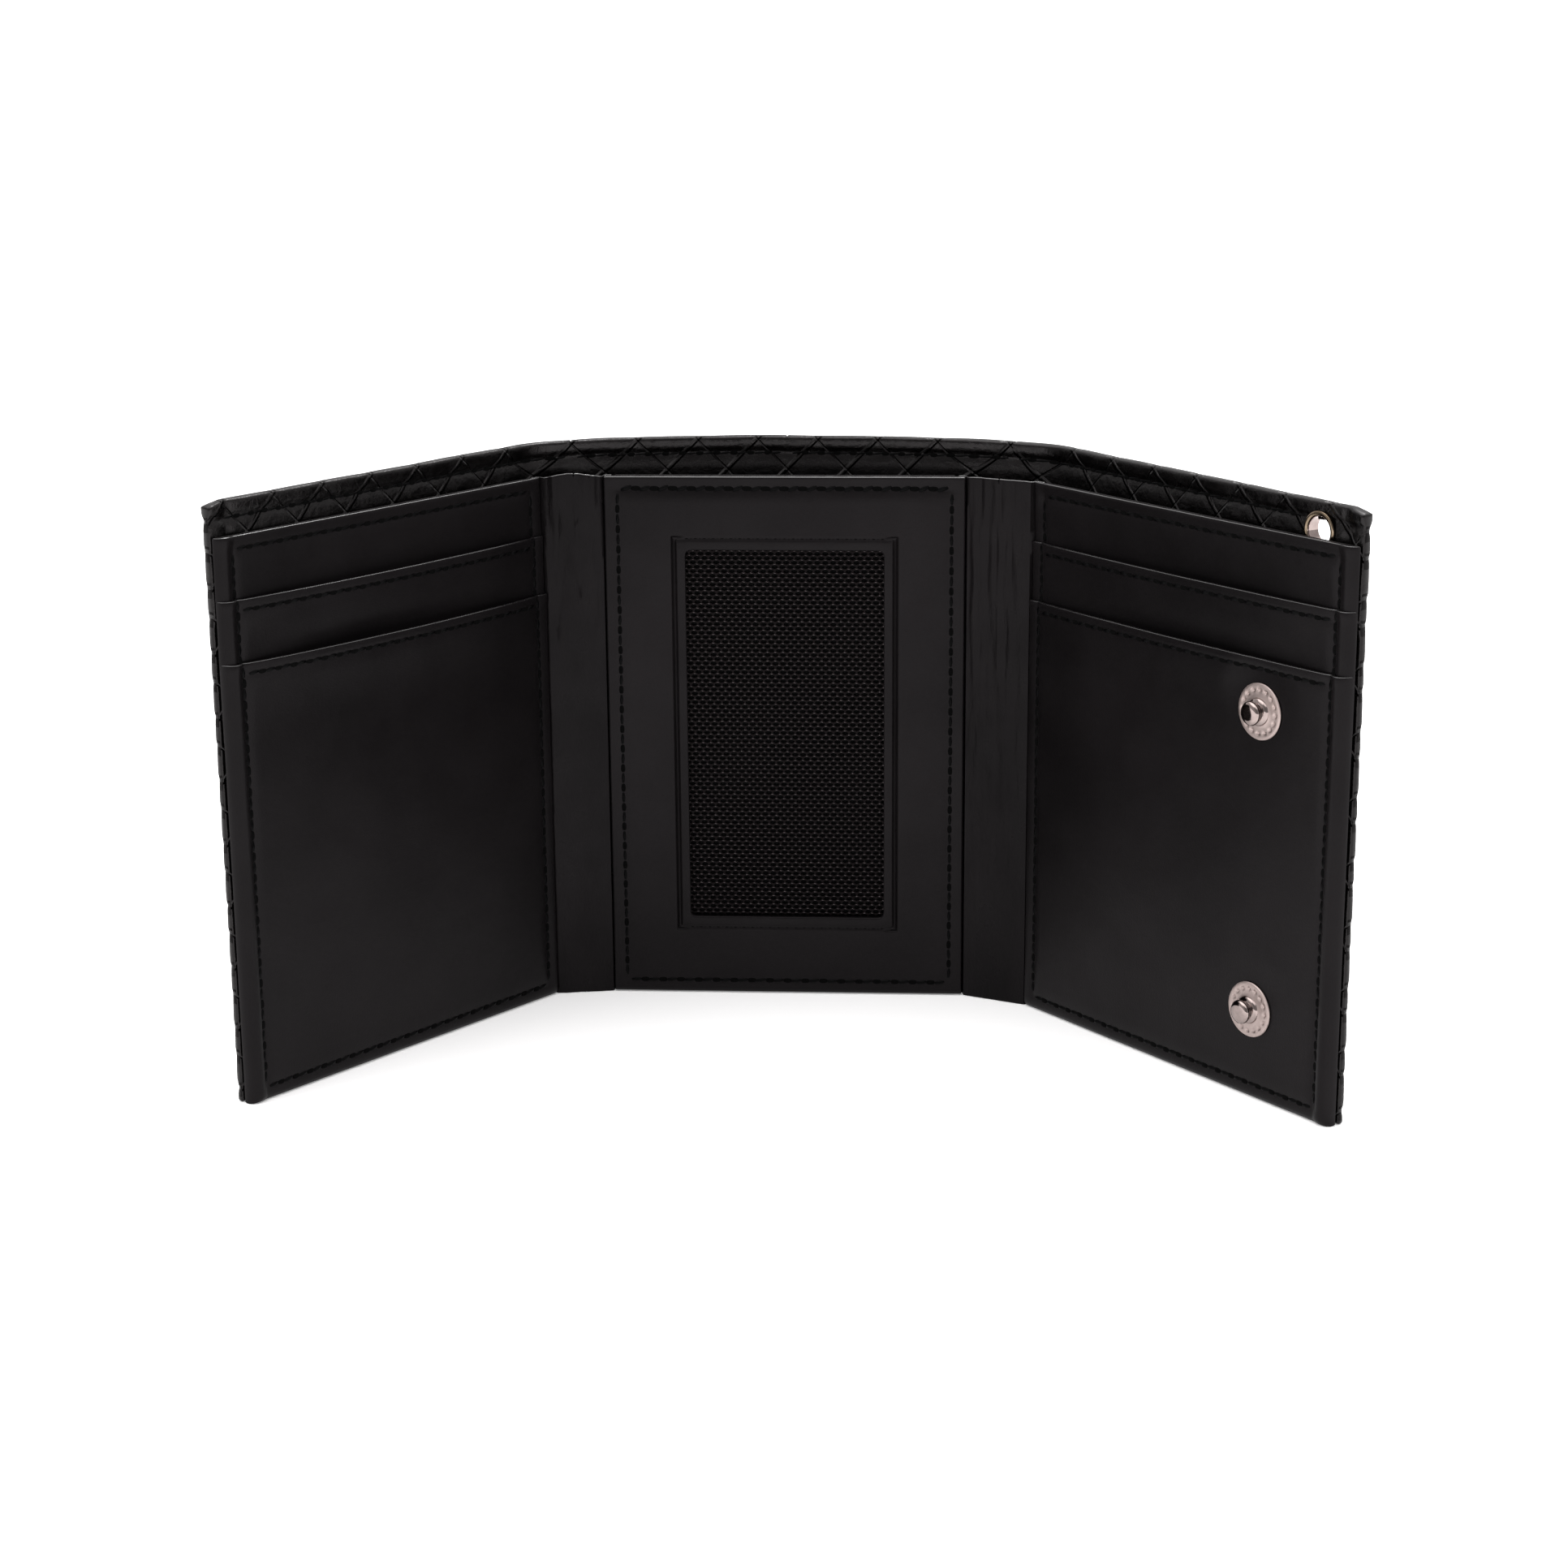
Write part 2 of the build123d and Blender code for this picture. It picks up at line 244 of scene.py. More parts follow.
class WalletColours(bpy.types.PropertyGroup):
    """Colours of the wallet's finishes."""

    smooth_leather: colour("Smooth leather", (0.0052, 0.0045, 0.0048), "Inside leather")
    woven_leather: colour("Woven leather", (0.0014, 0.0012, 0.0012), "Cover leather")
    lining: colour("Lining", (0.003, 0.003, 0.0032), "Cloth in the bill compartment")
    net: colour("Net", (0.0022, 0.0017, 0.0018), "Net in the window")
    thread: colour("Thread", (0.0008, 0.0008, 0.0009), "Waxed thread")
    nickel: colour("Nickel", (0.42, 0.345, 0.325), "Snaps and eyelet")
    floor: colour("Floor", (0.93, 0.93, 0.93), "Studio floor")


def sizes():
    return bpy.context.scene.wallet_sizes


def mm(name):
    return getattr(sizes(), name) / MM


# ---------------------------------------------------------------------------------------------
# Finishes


class Finish:
    """Builds one node material."""

    def __init__(self, name, base, roughness, specular=0.5, metallic=0.0):
        self.material = bpy.data.materials.new(name)
        self.material.use_nodes = True
        self.tree = self.material.node_tree
        self.shader = self.tree.nodes["Principled BSDF"]
        self.shader.inputs["Base Color"].default_value = (*base, 1)
        self.shader.inputs["Roughness"].default_value = roughness
        self.shader.inputs["Specular IOR Level"].default_value = specular
        self.shader.inputs["Metallic"].default_value = metallic
        self.last_bump = None

    def node(self, kind, **values):
        made = self.tree.nodes.new(kind)
        for key, value in values.items():
            if key in made.inputs:
                made.inputs[key].default_value = value
            else:
                setattr(made, key, value)
        return made

    def link(self, source, target):
        self.tree.links.new(source, target)

    def sum(self, operation, first, second=None, third=None):
        made = self.node("ShaderNodeMath", operation=operation)
        for slot, value in enumerate((first, second, third)):
            if value is None:
                continue
            if isinstance(value, (int, float)):
                made.inputs[slot].default_value = value
            else:
                self.link(value, made.inputs[slot])
        return made.outputs[0]

    def place(self, stretch=(1, 1, 1)):
        where = self.node("ShaderNodeTexCoord")
        mapping = self.node("ShaderNodeMapping", Scale=stretch)
        self.link(where.outputs["Object"], mapping.inputs["Vector"])
        return mapping.outputs["Vector"]

    def noise(self, scale, detail=4.0, rough=0.55, stretch=(1, 1, 1), where=None):
        made = self.node("ShaderNodeTexNoise", Scale=scale, Detail=detail, Roughness=rough)
        self.link(where or self.place(stretch), made.inputs["Vector"])
        return made.outputs["Fac"]

    def cells(self, scale, feature="DISTANCE_TO_EDGE", stretch=(1, 1, 1), where=None):
        made = self.node("ShaderNodeTexVoronoi", Scale=scale, feature=feature)
        self.link(where or self.place(stretch), made.inputs["Vector"])
        return made.outputs["Distance"]

    def ramp(self, value, low, high, to_low=0.0, to_high=1.0):
        made = self.node("ShaderNodeMapRange")
        made.inputs["From Min"].default_value = low
        made.inputs["From Max"].default_value = high
        made.inputs["To Min"].default_value = to_low
        made.inputs["To Max"].default_value = to_high
        self.link(value, made.inputs["Value"])
        return made.outputs["Result"]

    def mix(self, share, first, second):
        made = self.node("ShaderNodeMix", data_type="RGBA")
        self.link(share, made.inputs[0])
        for slot, value in ((6, first), (7, second)):
            if isinstance(value, tuple):
                made.inputs[slot].default_value = (*value, 1)
            else:
                self.link(value, made.inputs[slot])
        return made.outputs[2]

    def raise_by(self, height, distance, strength=1.0):
        made = self.node("ShaderNodeBump", Strength=strength, Distance=distance)
        self.link(height, made.inputs["Height"])
        if self.last_bump:
            self.link(self.last_bump, made.inputs["Normal"])
        self.last_bump = made.outputs["Normal"]
        self.link(self.last_bump, self.shader.inputs["Normal"])

    def paint(self, value):
        self.link(value, self.shader.inputs["Base Color"])

    def roughen(self, value):
        self.link(value, self.shader.inputs["Roughness"])


def smooth_leather_finish(base):
    """Thin smooth leather: fine pores, soft creases and a broad sheen."""
    f = Finish("smooth_leather", base, 0.36, specular=0.085)
    f.shader.inputs["Specular Tint"].default_value = (1, 0.94, 0.97, 1)
    soft = f.noise(28, detail=2)
    pores = f.cells(1700)
    creases = f.noise(420, detail=6, rough=0.62, stretch=(1.6, 1.6, 0.5))
    dark = tuple(c * 0.72 for c in base)
    light = tuple(c * 1.18 for c in base)
    f.paint(f.mix(f.ramp(soft, 0.35, 0.65), dark, light))
    f.roughen(f.ramp(f.noise(90, detail=3), 0.3, 0.7, 0.3, 0.42))
    f.raise_by(creases, 0.0001, 0.16)
    f.raise_by(f.ramp(pores, 0.0, 0.25), 0.00003, 0.2)
    return f.material


def weave_lines(f, strand):
    """How near a point is to the edge of its strand, from the sheet's own map."""
    uv = f.node("ShaderNodeUVMap", uv_map="leather")
    parts = f.node("ShaderNodeSeparateXYZ")
    f.link(uv.outputs["UV"], parts.inputs[0])
    step = 100.0 / (strand * sqrt(2))
    rise = f.sum("MULTIPLY", f.sum("ADD", parts.outputs[0], parts.outputs[1]), step)
    fall = f.sum("MULTIPLY", f.sum("SUBTRACT", parts.outputs[0], parts.outputs[1]), step)
    halves = []
    for way in (rise, fall):
        halves.append(f.sum("ABSOLUTE", f.sum("SUBTRACT", f.sum("FRACT", way), 0.5)))
    turn = f.sum("ADD", f.sum("FLOOR", rise), f.sum("FLOOR", fall))
    odd = f.sum("FLOORED_MODULO", turn, 2.0)
    even = f.sum("SUBTRACT", 1.0, odd)
    across = f.sum("ADD", f.sum("MULTIPLY", halves[0], even), f.sum("MULTIPLY", halves[1], odd))
    along = f.sum("ADD", f.sum("MULTIPLY", halves[1], even), f.sum("MULTIPLY", halves[0], odd))
    return across, along, halves[0], halves[1], parts.outputs[0]


def woven_leather_finish(base, strand):
    """Glossy crinkled leather pressed into a diagonal basket weave."""
    f = Finish("woven_leather", base, 0.3, specular=0.2)
    f.shader.inputs["Specular Tint"].default_value = (1, 0.95, 0.96, 1)
    across, along, *_ = weave_lines(f, strand)
    side = f.ramp(across, 0.445, 0.5, 1.0, 0.0)
    side.node.interpolation_type = "SMOOTHSTEP"
    dip = f.ramp(along, 0.36, 0.5, 1.0, 0.2)
    lip = f.sum("MULTIPLY", f.ramp(across, 0.4, 0.44, 0.0, 0.35), side)
    height = f.sum("ADD", f.sum("MULTIPLY", side, dip), f.sum("MULTIPLY", lip, dip))
    crinkle = f.noise(330, detail=7, rough=0.66)
    wrinkle = f.cells(260)
    f.paint(f.mix(f.ramp(crinkle, 0.3, 0.7), tuple(c * 0.6 for c in base), tuple(c * 1.5 for c in base)))
    f.roughen(f.ramp(f.noise(240, detail=4), 0.3, 0.7, 0.2, 0.38))
    f.raise_by(height, 0.0006, 0.9)
    f.raise_by(f.ramp(wrinkle, 0.0, 0.35), 0.00008, 0.3)
    f.raise_by(crinkle, 0.0004, 0.35)
    return f.material


def pressed_leather_finish(base, strand):
    """The weave as it shows on the inside: flat cells, sharp ridges and fine cuts."""
    f = Finish("pressed_leather", base, 0.3, specular=0.24)
    f.shader.inputs["Specular Tint"].default_value = (1, 0.95, 0.96, 1)
    _, _, rise, fall, u = weave_lines(f, strand)
    right = f.sum("GREATER_THAN", u, RIGHT_MIDDLE / 100)
    left = f.sum("SUBTRACT", 1.0, right)
    raised = f.sum("ADD", f.sum("MULTIPLY", fall, left), f.sum("MULTIPLY", rise, right))
    pressed = f.sum("ADD", f.sum("MULTIPLY", rise, left), f.sum("MULTIPLY", fall, right))
    ridge = f.ramp(raised, 0.44, 0.485, 0.0, 1.0)
    ridge.node.interpolation_type = "SMOOTHSTEP"
    cut = f.ramp(pressed, 0.47, 0.496, 1.0, 0.0)
    soft = f.noise(150, detail=3)
    crinkle = f.noise(520, detail=6, rough=0.62)
    f.paint(f.mix(f.ramp(soft, 0.3, 0.7), tuple(c * 0.6 for c in base), tuple(c * 1.3 for c in base)))
    f.roughen(f.ramp(f.noise(300, detail=4), 0.3, 0.7, 0.16, 0.32))
    f.raise_by(ridge, 0.0008, 1.0)
    f.raise_by(cut, 0.0003, 0.9)
    f.raise_by(crinkle, 0.0004, 0.5)
    return f.material


def burnished_highlight_finish(base):
    """The polished top edge of the smooth leather: glossier, and painted lighter as a painted highlight along the
    top.
    """
    # Painted highlight: 1.6 times the leather's colour, with high gloss, for the top faces only
    f = Finish("burnished_edge_highlight", tuple(c * 1.6 for c in base), 0.26, specular=0.9)
    f.roughen(f.ramp(f.noise(700, detail=3), 0.3, 0.7, 0.2, 0.34))
    return f.material


def mark_highlight_faces(obj, top):
    """Marks the faces of a flat piece's upper edge, before it is bent into place: they take the lighter burnished
    colour, a painted highlight.
    """
    return [face.center.z > top - 0.13 for face in obj.data.polygons]


def creased_leather_finish(base):
    """The smooth leather where it has been folded often: sharp upright crinkles."""
    f = Finish("creased_leather", base, 0.34, specular=0.07)
    f.shader.inputs["Specular Tint"].default_value = (1, 0.94, 0.97, 1)
    folds = f.noise(620, detail=5, rough=0.55, stretch=(1, 1, 0.22))
    cracks = f.noise(1500, detail=5, rough=0.6, stretch=(1, 1, 0.4))
    soft = f.noise(60, detail=3, stretch=(1, 1, 0.5))
    f.paint(f.mix(f.ramp(soft, 0.35, 0.65), tuple(c * 0.55 for c in base), tuple(c * 1.1 for c in base)))
    f.roughen(f.ramp(f.noise(140, detail=3), 0.3, 0.7, 0.25, 0.38))
    f.raise_by(f.ramp(folds, 0.45, 0.62), 0.0002, 0.22)
    f.raise_by(cracks, 0.00012, 0.2)
    return f.material


def lining_finish(base):
    """Plain woven cloth."""
    f = Finish("lining", base, 0.8, specular=0.08)
    rows = f.node("ShaderNodeTexWave", Scale=900.0, Distortion=0.6, Detail=1.0)
    rows.bands_direction = "Z"
    f.link(f.place(), rows.inputs["Vector"])
    columns = f.node("ShaderNodeTexWave", Scale=900.0, Distortion=0.6, Detail=1.0)
    columns.bands_direction = "DIAGONAL"
    f.link(f.place((1, 1, 0)), columns.inputs["Vector"])
    weave = f.sum("MULTIPLY", rows.outputs["Fac"], columns.outputs["Fac"])
    f.paint(f.mix(weave, tuple(c * 0.6 for c in base), tuple(c * 1.5 for c in base)))
    f.raise_by(weave, 0.0001, 0.6)
    return f.material


def net_finish(base):
    """Knitted nylon net."""
    f = Finish("window_mesh", base, 0.3, specular=0.05)
    f.shader.inputs["Specular Tint"].default_value = (1, 0.86, 0.88, 1)
    fibres = f.noise(5200, detail=2, stretch=(0.4, 0.4, 1))
    f.paint(f.mix(fibres, tuple(c * 0.5 for c in base), tuple(c * 1.6 for c in base)))
    f.raise_by(fibres, 0.00005, 0.5)
    return f.material


def knot_glint_finish(base):
    """The net's yarn where it lies on top and shines, painted lighter than the net: a painted glint."""
    # Painted glint: the net's colour made 1.5 times lighter, and far glossier
    f = Finish("knot_glint_yarn", tuple(c * 1.5 for c in base), 0.3, specular=0.6)
    f.shader.inputs["Specular Tint"].default_value = (1, 0.86, 0.88, 1)
    fibres = f.noise(5200, detail=2, stretch=(0.4, 0.4, 1))
    f.roughen(f.ramp(fibres, 0.3, 0.7, 0.22, 0.4))
    f.raise_by(fibres, 0.00003, 0.4)
    return f.material


def thread_finish(base):
    """Waxed black thread."""
    f = Finish("thread", base, 0.45, specular=0.05)
    plies = f.noise(3800, detail=3, stretch=(1, 1, 0.35))
    f.paint(f.mix(plies, tuple(c * 0.5 for c in base), tuple(c * 1.8 for c in base)))
    f.raise_by(plies, 0.00008, 0.5)
    return f.material


def hole_shade_finish():
    """Painted shade: the dark inside of a needle hole, on a flat blob between two stitches."""
    f = Finish("needle_hole_shade", (0.0012, 0.0012, 0.0012), 0.9, specular=0.05)
    f.raise_by(f.noise(3000), 0.00003, 0.3)
    return f.material


def nickel_finish(base):
    """Nickel plate with fine brush marks and a little tarnish, its colour painted darker than the satin plate's:
    painted shade for the dark reflections on the polished post, socket and barrel.
    """
    f = Finish("nickel", base, 0.24, metallic=1.0)
    tarnish_and_shade = f.noise(900, detail=5)
    # Painted shade: both tones are darker than the satin plate's colour, and random tarnish sets the share between
    # them
    f.paint(f.mix(f.ramp(tarnish_and_shade, 0.3, 0.75), tuple(c * 0.8 for c in base), tuple(c * 0.6 for c in base)))
    f.roughen(f.ramp(f.noise(1900, detail=4), 0.25, 0.75, 0.06, 0.14))
    f.raise_by(f.noise(2600, detail=3), 0.00001, 0.2)
    return f.material


def brassy_shaded_nickel_finish(base):
    """Yellower nickel of the eyelet's rim, painted darker as painted shade for the dark reflections on the rim."""
    f = Finish("brassy_shaded_nickel", base, 0.2, metallic=1.0)
    dull = f.noise(1400, detail=4)
    # Painted shade: the rim's colour is darkened well below the plate's, and tinted yellower
    f.paint(f.mix(f.ramp(dull, 0.3, 0.75), tuple(c * k for c, k in zip(base, (0.5, 0.47, 0.36))),
                  tuple(c * k for c, k in zip(base, (0.28, 0.26, 0.18)))))
    f.roughen(f.ramp(dull, 0.3, 0.7, 0.12, 0.26))
    return f.material


def satin_nickel_finish(base):
    """Blasted nickel plate, duller than the polished post."""
    f = Finish("satin_nickel", base, 0.5, metallic=1.0)
    f.roughen(f.ramp(f.noise(2400, detail=4), 0.25, 0.75, 0.42, 0.56))
    f.raise_by(f.noise(6000, detail=2), 0.00002, 0.3)
    return f.material


def floor_finish(base):
    """Matte paper."""
    f = Finish("studio_paper", base, 0.95, specular=0.0)
    f.shader.inputs["Emission Color"].default_value = (1, 1, 1, 1)
    f.shader.inputs["Emission Strength"].default_value = 0.2
    return f.material


FINISHES = {}


def make_finishes():
    c = bpy.context.scene.wallet_colours
    FINISHES["smooth_leather"] = smooth_leather_finish(tuple(c.smooth_leather))
    FINISHES["creased_leather"] = creased_leather_finish(tuple(c.smooth_leather))
    FINISHES["burnished_edge_highlight"] = burnished_highlight_finish(tuple(c.smooth_leather))
    FINISHES["woven_leather"] = woven_leather_finish(tuple(c.woven_leather), mm("strand"))
    FINISHES["pressed_leather"] = pressed_leather_finish(tuple(c.woven_leather), mm("strand"))
    FINISHES["lining"] = lining_finish(tuple(c.lining))
    FINISHES["window_mesh"] = net_finish(tuple(c.net))
    FINISHES["knot_glint_yarn"] = knot_glint_finish(tuple(c.net))
    FINISHES["thread"] = thread_finish(tuple(c.thread))
    FINISHES["needle_hole_shade"] = hole_shade_finish()
    FINISHES["nickel"] = nickel_finish(tuple(c.nickel))
    FINISHES["satin_nickel"] = satin_nickel_finish(tuple(c.nickel))
    FINISHES["brassy_shaded_nickel"] = brassy_shaded_nickel_finish(tuple(c.nickel))
    FINISHES["floor"] = floor_finish(tuple(c.floor))


def dress(obj, *names):
    obj.data.materials.clear()
    for name in names:
        obj.data.materials.append(FINISHES[name])
    slots = {"creased_leather": "smooth_leather", "knot_glint_yarn": "window_mesh", "brassy_shaded_nickel": "nickel"}
    slots.get(names[0], names[0])


# ---------------------------------------------------------------------------------------------
# Modelling


def only(obj):
    bpy.ops.object.select_all(action="DESELECT")
    obj.select_set(True)
    bpy.context.view_layer.objects.active = obj


def lines(start, end, step, keys=()):
    """Lines from start to end, about a step apart, with one on every key."""
    stops = sorted({start, end, *[k for k in keys if start < k < end]})
    found = []
    for low, high in zip(stops, stops[1:]):
        count = max(1, round((high - low) / step))
        found += [low + (high - low) * i / count for i in range(count)]
    return found + [end]


def flat_grid(name, columns, rows):
    """A flat sheet in the XZ plane, facing -Y, with vertices on those lines."""
    bpy.ops.object.select_all(action="DESELECT")
    wide, high = len(columns) - 1, len(rows) - 1
    bpy.ops.mesh.primitive_grid_add(x_subdivisions=wide, y_subdivisions=high, size=1)
    obj = bpy.context.active_object
    obj.name = obj.data.name = name
    for vertex in obj.data.vertices:
        column = columns[round((vertex.co.x + 0.5) * wide)]
        row = rows[round((vertex.co.y + 0.5) * high)]
        vertex.co = (column, 0, row)
    return obj


def cut_out(obj, inside, outline, near):
    """Removes the faces inside an outline, and moves the rim's vertices onto it."""
    only(obj)
    bpy.ops.object.mode_set(mode="EDIT")
    bpy.ops.mesh.select_mode(type="FACE")
    bpy.ops.mesh.select_all(action="DESELECT")
    bpy.ops.object.mode_set(mode="OBJECT")
    for face in obj.data.polygons:
        face.select = inside(face.center.x, face.center.z)
    bpy.ops.object.mode_set(mode="EDIT")
    bpy.ops.mesh.delete(type="FACE")
    bpy.ops.mesh.select_mode(type="VERT")
    bpy.ops.mesh.select_all(action="DESELECT")
    bpy.ops.mesh.select_non_manifold()
    bpy.ops.object.mode_set(mode="OBJECT")
    for vertex in obj.data.vertices:
        if vertex.select and near(vertex.co.x, vertex.co.z):
            x, z = outline(vertex.co.x, vertex.co.z)
            vertex.co = (x, 0, z)


def cut_circle(obj, s, z, radius):
    def onto(x, y):
        away = hypot(x - s, y - z) or 1
        return s + (x - s) * radius / away, z + (y - z) * radius / away

    cut_out(
        obj,
        lambda x, y: hypot(x - s, y - z) < radius,
        onto,
        lambda x, y: hypot(x - s, y - z) < radius * 1.6,
    )


def thicken(obj, thickness, rounding=0.0, rounded=None, segments=3):
    """Gives a flat sheet its thickness behind it, and rounds its edges."""
    only(obj)
    bpy.ops.object.modifier_add(type="SOLIDIFY")
    solid = obj.modifiers[-1]
    solid.thickness = thickness
    solid.offset = -1
    bpy.ops.object.modifier_apply(modifier=solid.name)
    if not rounding:
        return
    bpy.ops.object.mode_set(mode="EDIT")
    bpy.ops.mesh.select_mode(type="EDGE")
    bpy.ops.mesh.select_all(action="DESELECT")
    bpy.ops.mesh.edges_select_sharp(sharpness=radians(60))
    bpy.ops.object.mode_set(mode="OBJECT")
    weights = obj.data.attributes.get("bevel_weight_edge")
    if not weights:
        weights = obj.data.attributes.new("bevel_weight_edge", "FLOAT", "EDGE")
    points = obj.data.vertices
    for edge in obj.data.edges:
        if not edge.select:
            continue
        a, b = (points[i].co for i in edge.vertices)
        if rounded is None or rounded(a, b):
            weights.data[edge.index].value = 1.0
    bpy.ops.object.modifier_add(type="BEVEL")
    bevel = obj.modifiers[-1]
    bevel.limit_method = "WEIGHT"
    bevel.width = rounding
    bevel.segments = segments
    bpy.ops.object.modifier_apply(modifier=bevel.name)
    obj.data.attributes.remove(obj.data.attributes["bevel_weight_edge"])


def keep_map(obj):
    """Keeps the flat sheet's place as its own map, in tenths of a metre."""
    for layer in list(obj.data.uv_layers):
        obj.data.uv_layers.remove(layer)
    layer = obj.data.uv_layers.new(name="leather")
    points = obj.data.vertices
    for loop in obj.data.loops:
        co = points[loop.vertex_index].co
        layer.data[loop.index].uv = (co.x / 100, co.z / 100)


def settle(obj, change, put):
    """Shapes every vertex: change gives its new s, d and z, and put its place."""
    keep_map(obj)
    for vertex in obj.data.vertices:
        vertex.co = put(*change(vertex.co.x, vertex.co.y, vertex.co.z))
    obj.data.update()
    only(obj)
    bpy.ops.object.shade_smooth_by_angle(angle=radians(50))


# The seam along the tallest pocket's mouth lies this far below it, and the side seams end there
TOP_SEAM_DROP = 2.3
SIDE_SEAM_TOP = 102 - TOP_SEAM_DROP
# Where the two pockets behind the front one end, out of sight
HIDDEN_BOTTOMS = {1: 70.0, 2: 66.0}
MOUTHS = {
    side: {n: span(f"{side}_card_pocket_{n}", f"{side}_panel")[2][1] for n in (1, 2, 3)}
    for side in ("left", "right")
}


def wander(s, z, seed, size):
    """A smooth random value between about -1 and 1."""
    return noise.noise(Vector((s / size, z / size, seed)))


def seam_runs(section):
    """The straight seams on a section's inside, as start, end, and kind."""
    side, free, low = mm("side_seam"), mm("free_seam"), 2.6
    if section == "center":
        a, b = WINDOW[0][0] + side, WINDOW[0][1] - side
        top = HEIGHT - 2.3
        return [
            ((a, low), (b, low), "plain"),
            ((a, low), (a, top), "plain"),
            ((b, low), (b, top), "plain"),
            ((a, top), (b, top), "heavy"),
        ]
    a, b = PANEL_ENDS[section]
    a, b = (a + free, b - side) if section == "left_panel" else (a + side, b - free)
    runs = [((a, low), (b, low), "plain"), ((a, low), (a, SIDE_SEAM_TOP), "plain")]
    runs += [((b, low), (b, SIDE_SEAM_TOP), "plain")]
    for name, drop in (("1", TOP_SEAM_DROP), ("2", mm("mouth_seam")), ("3", mm("mouth_seam"))):
        side_name = section.split("_")[0]
        mouth = span(f"{side_name}_card_pocket_{name}", section)[2][1]
        runs.append(((a + 0.4, mouth - drop), (b - 0.4, mouth - drop), "plain"))
    return runs


def run_distance(runs, s, z):
    """Distance from the nearest seam."""
    best = 99.0
    for (a, low), (b, high), _ in runs:
        nearest_s = min(max(s, min(a, b)), max(a, b))
        nearest_z = min(max(z, min(low, high)), max(low, high))
        best = min(best, hypot(s - nearest_s, z - nearest_z))
    return best


# ---------------------------------------------------------------------------------------------
# Inside leather


def rolled(section, s, z, depth):
    """The depth after the edge roll: the plies come together at the free and lower edges."""
    a, b = PANEL_ENDS.get(section, (-99, 99))
    away = s - a if section == "left_panel" else b - s
    share = 0.0
    for distance, reach, most in ((away, 2.3, 0.88), (z, 1.1, 0.5)):
        if distance < reach:
            t = 1 - max(distance, 0) / reach
            share = max(share, most * (1 - sqrt(max(0.0, 1 - t * t))))
    return depth + share * (2.4 - depth)


def band(section, s):
    """The rounded band between a side panel's outer seam and its free edge, from 0 to 1."""
    a, b = PANEL_ENDS[section]
    away = s - a if section == "left_panel" else b - s
    t = min(max(away / mm("free_seam"), 0), 1)
    return sin(pi * t) ** 0.8 if t < 1 else 0.0


def dip(section, number, s, z):
    """How far the leather falls back behind the mouths in front of it."""
    side = section.split("_")[0]
    total = 0.0
    for other in (2, 3):
        if other <= number:
            continue
        mouth = MOUTHS[side][other]
        total += 0.66 * across_pocket(section, s) * bump(z - mouth - 0.4, 3.6)
    return total


def across_pocket(section, s):
    """From 0 at a pocket's side seams to 1 in the middle."""
    a, b = PANEL_ENDS[section]
    side, free = mm("side_seam"), mm("free_seam")
    a, b = (a + free, b - side) if section == "left_panel" else (a + side, b - free)
    return sin(pi * min(max((s - a) / (b - a), 0), 1)) ** 0.7


def clear_of_studs(section, s, z):
    """0 under a stud's flange, 1 well away from it."""
    if section != "right_panel":
        return 1.0
    near = min(hypot(s - SNAPS[n][0], z - SNAPS[n][2]) for n in ("stud_upper", "stud_lower"))
    return ease((near - 4.6) / 6)


def pocket_bow(section, number, mouth, s, z):
    """How far a pocket's leather stands forward between its side seams."""
    rise = ease((z - mouth + 15) / 15) ** 1.5
    share = {1: 0.1, 2: 0.8, 3: 1.0}[number]
    if section == "right_panel":
        share = min(share, 0.55)
    return mm("pocket_bow") * share * across_pocket(section, s) * rise


def front_face(section, number, s, z):
    """Depth of the front face of a pocket's leather, before its edges are rolled."""
    side = section.split("_")[0]
    depth = 0.6 * (3 - number) + dip(section, number, s, z)
    soft = pocket_bow(section, number, MOUTHS[side][number], s, z)
    soft += 0.07 * wander(s, z, number + (9 if side == "left" else 0), 13)
    if number == 3:
        soft += 0.18 * sin(pi * min(max((z - 4) / 70, 0), 1)) * across_pocket(section, s)
    depth -= soft * (clear_of_studs(section, s, z) if number == 3 else 1.0)
    return depth - 0.4 * band(section, s) * (0.7 if number < 3 else 1.0)


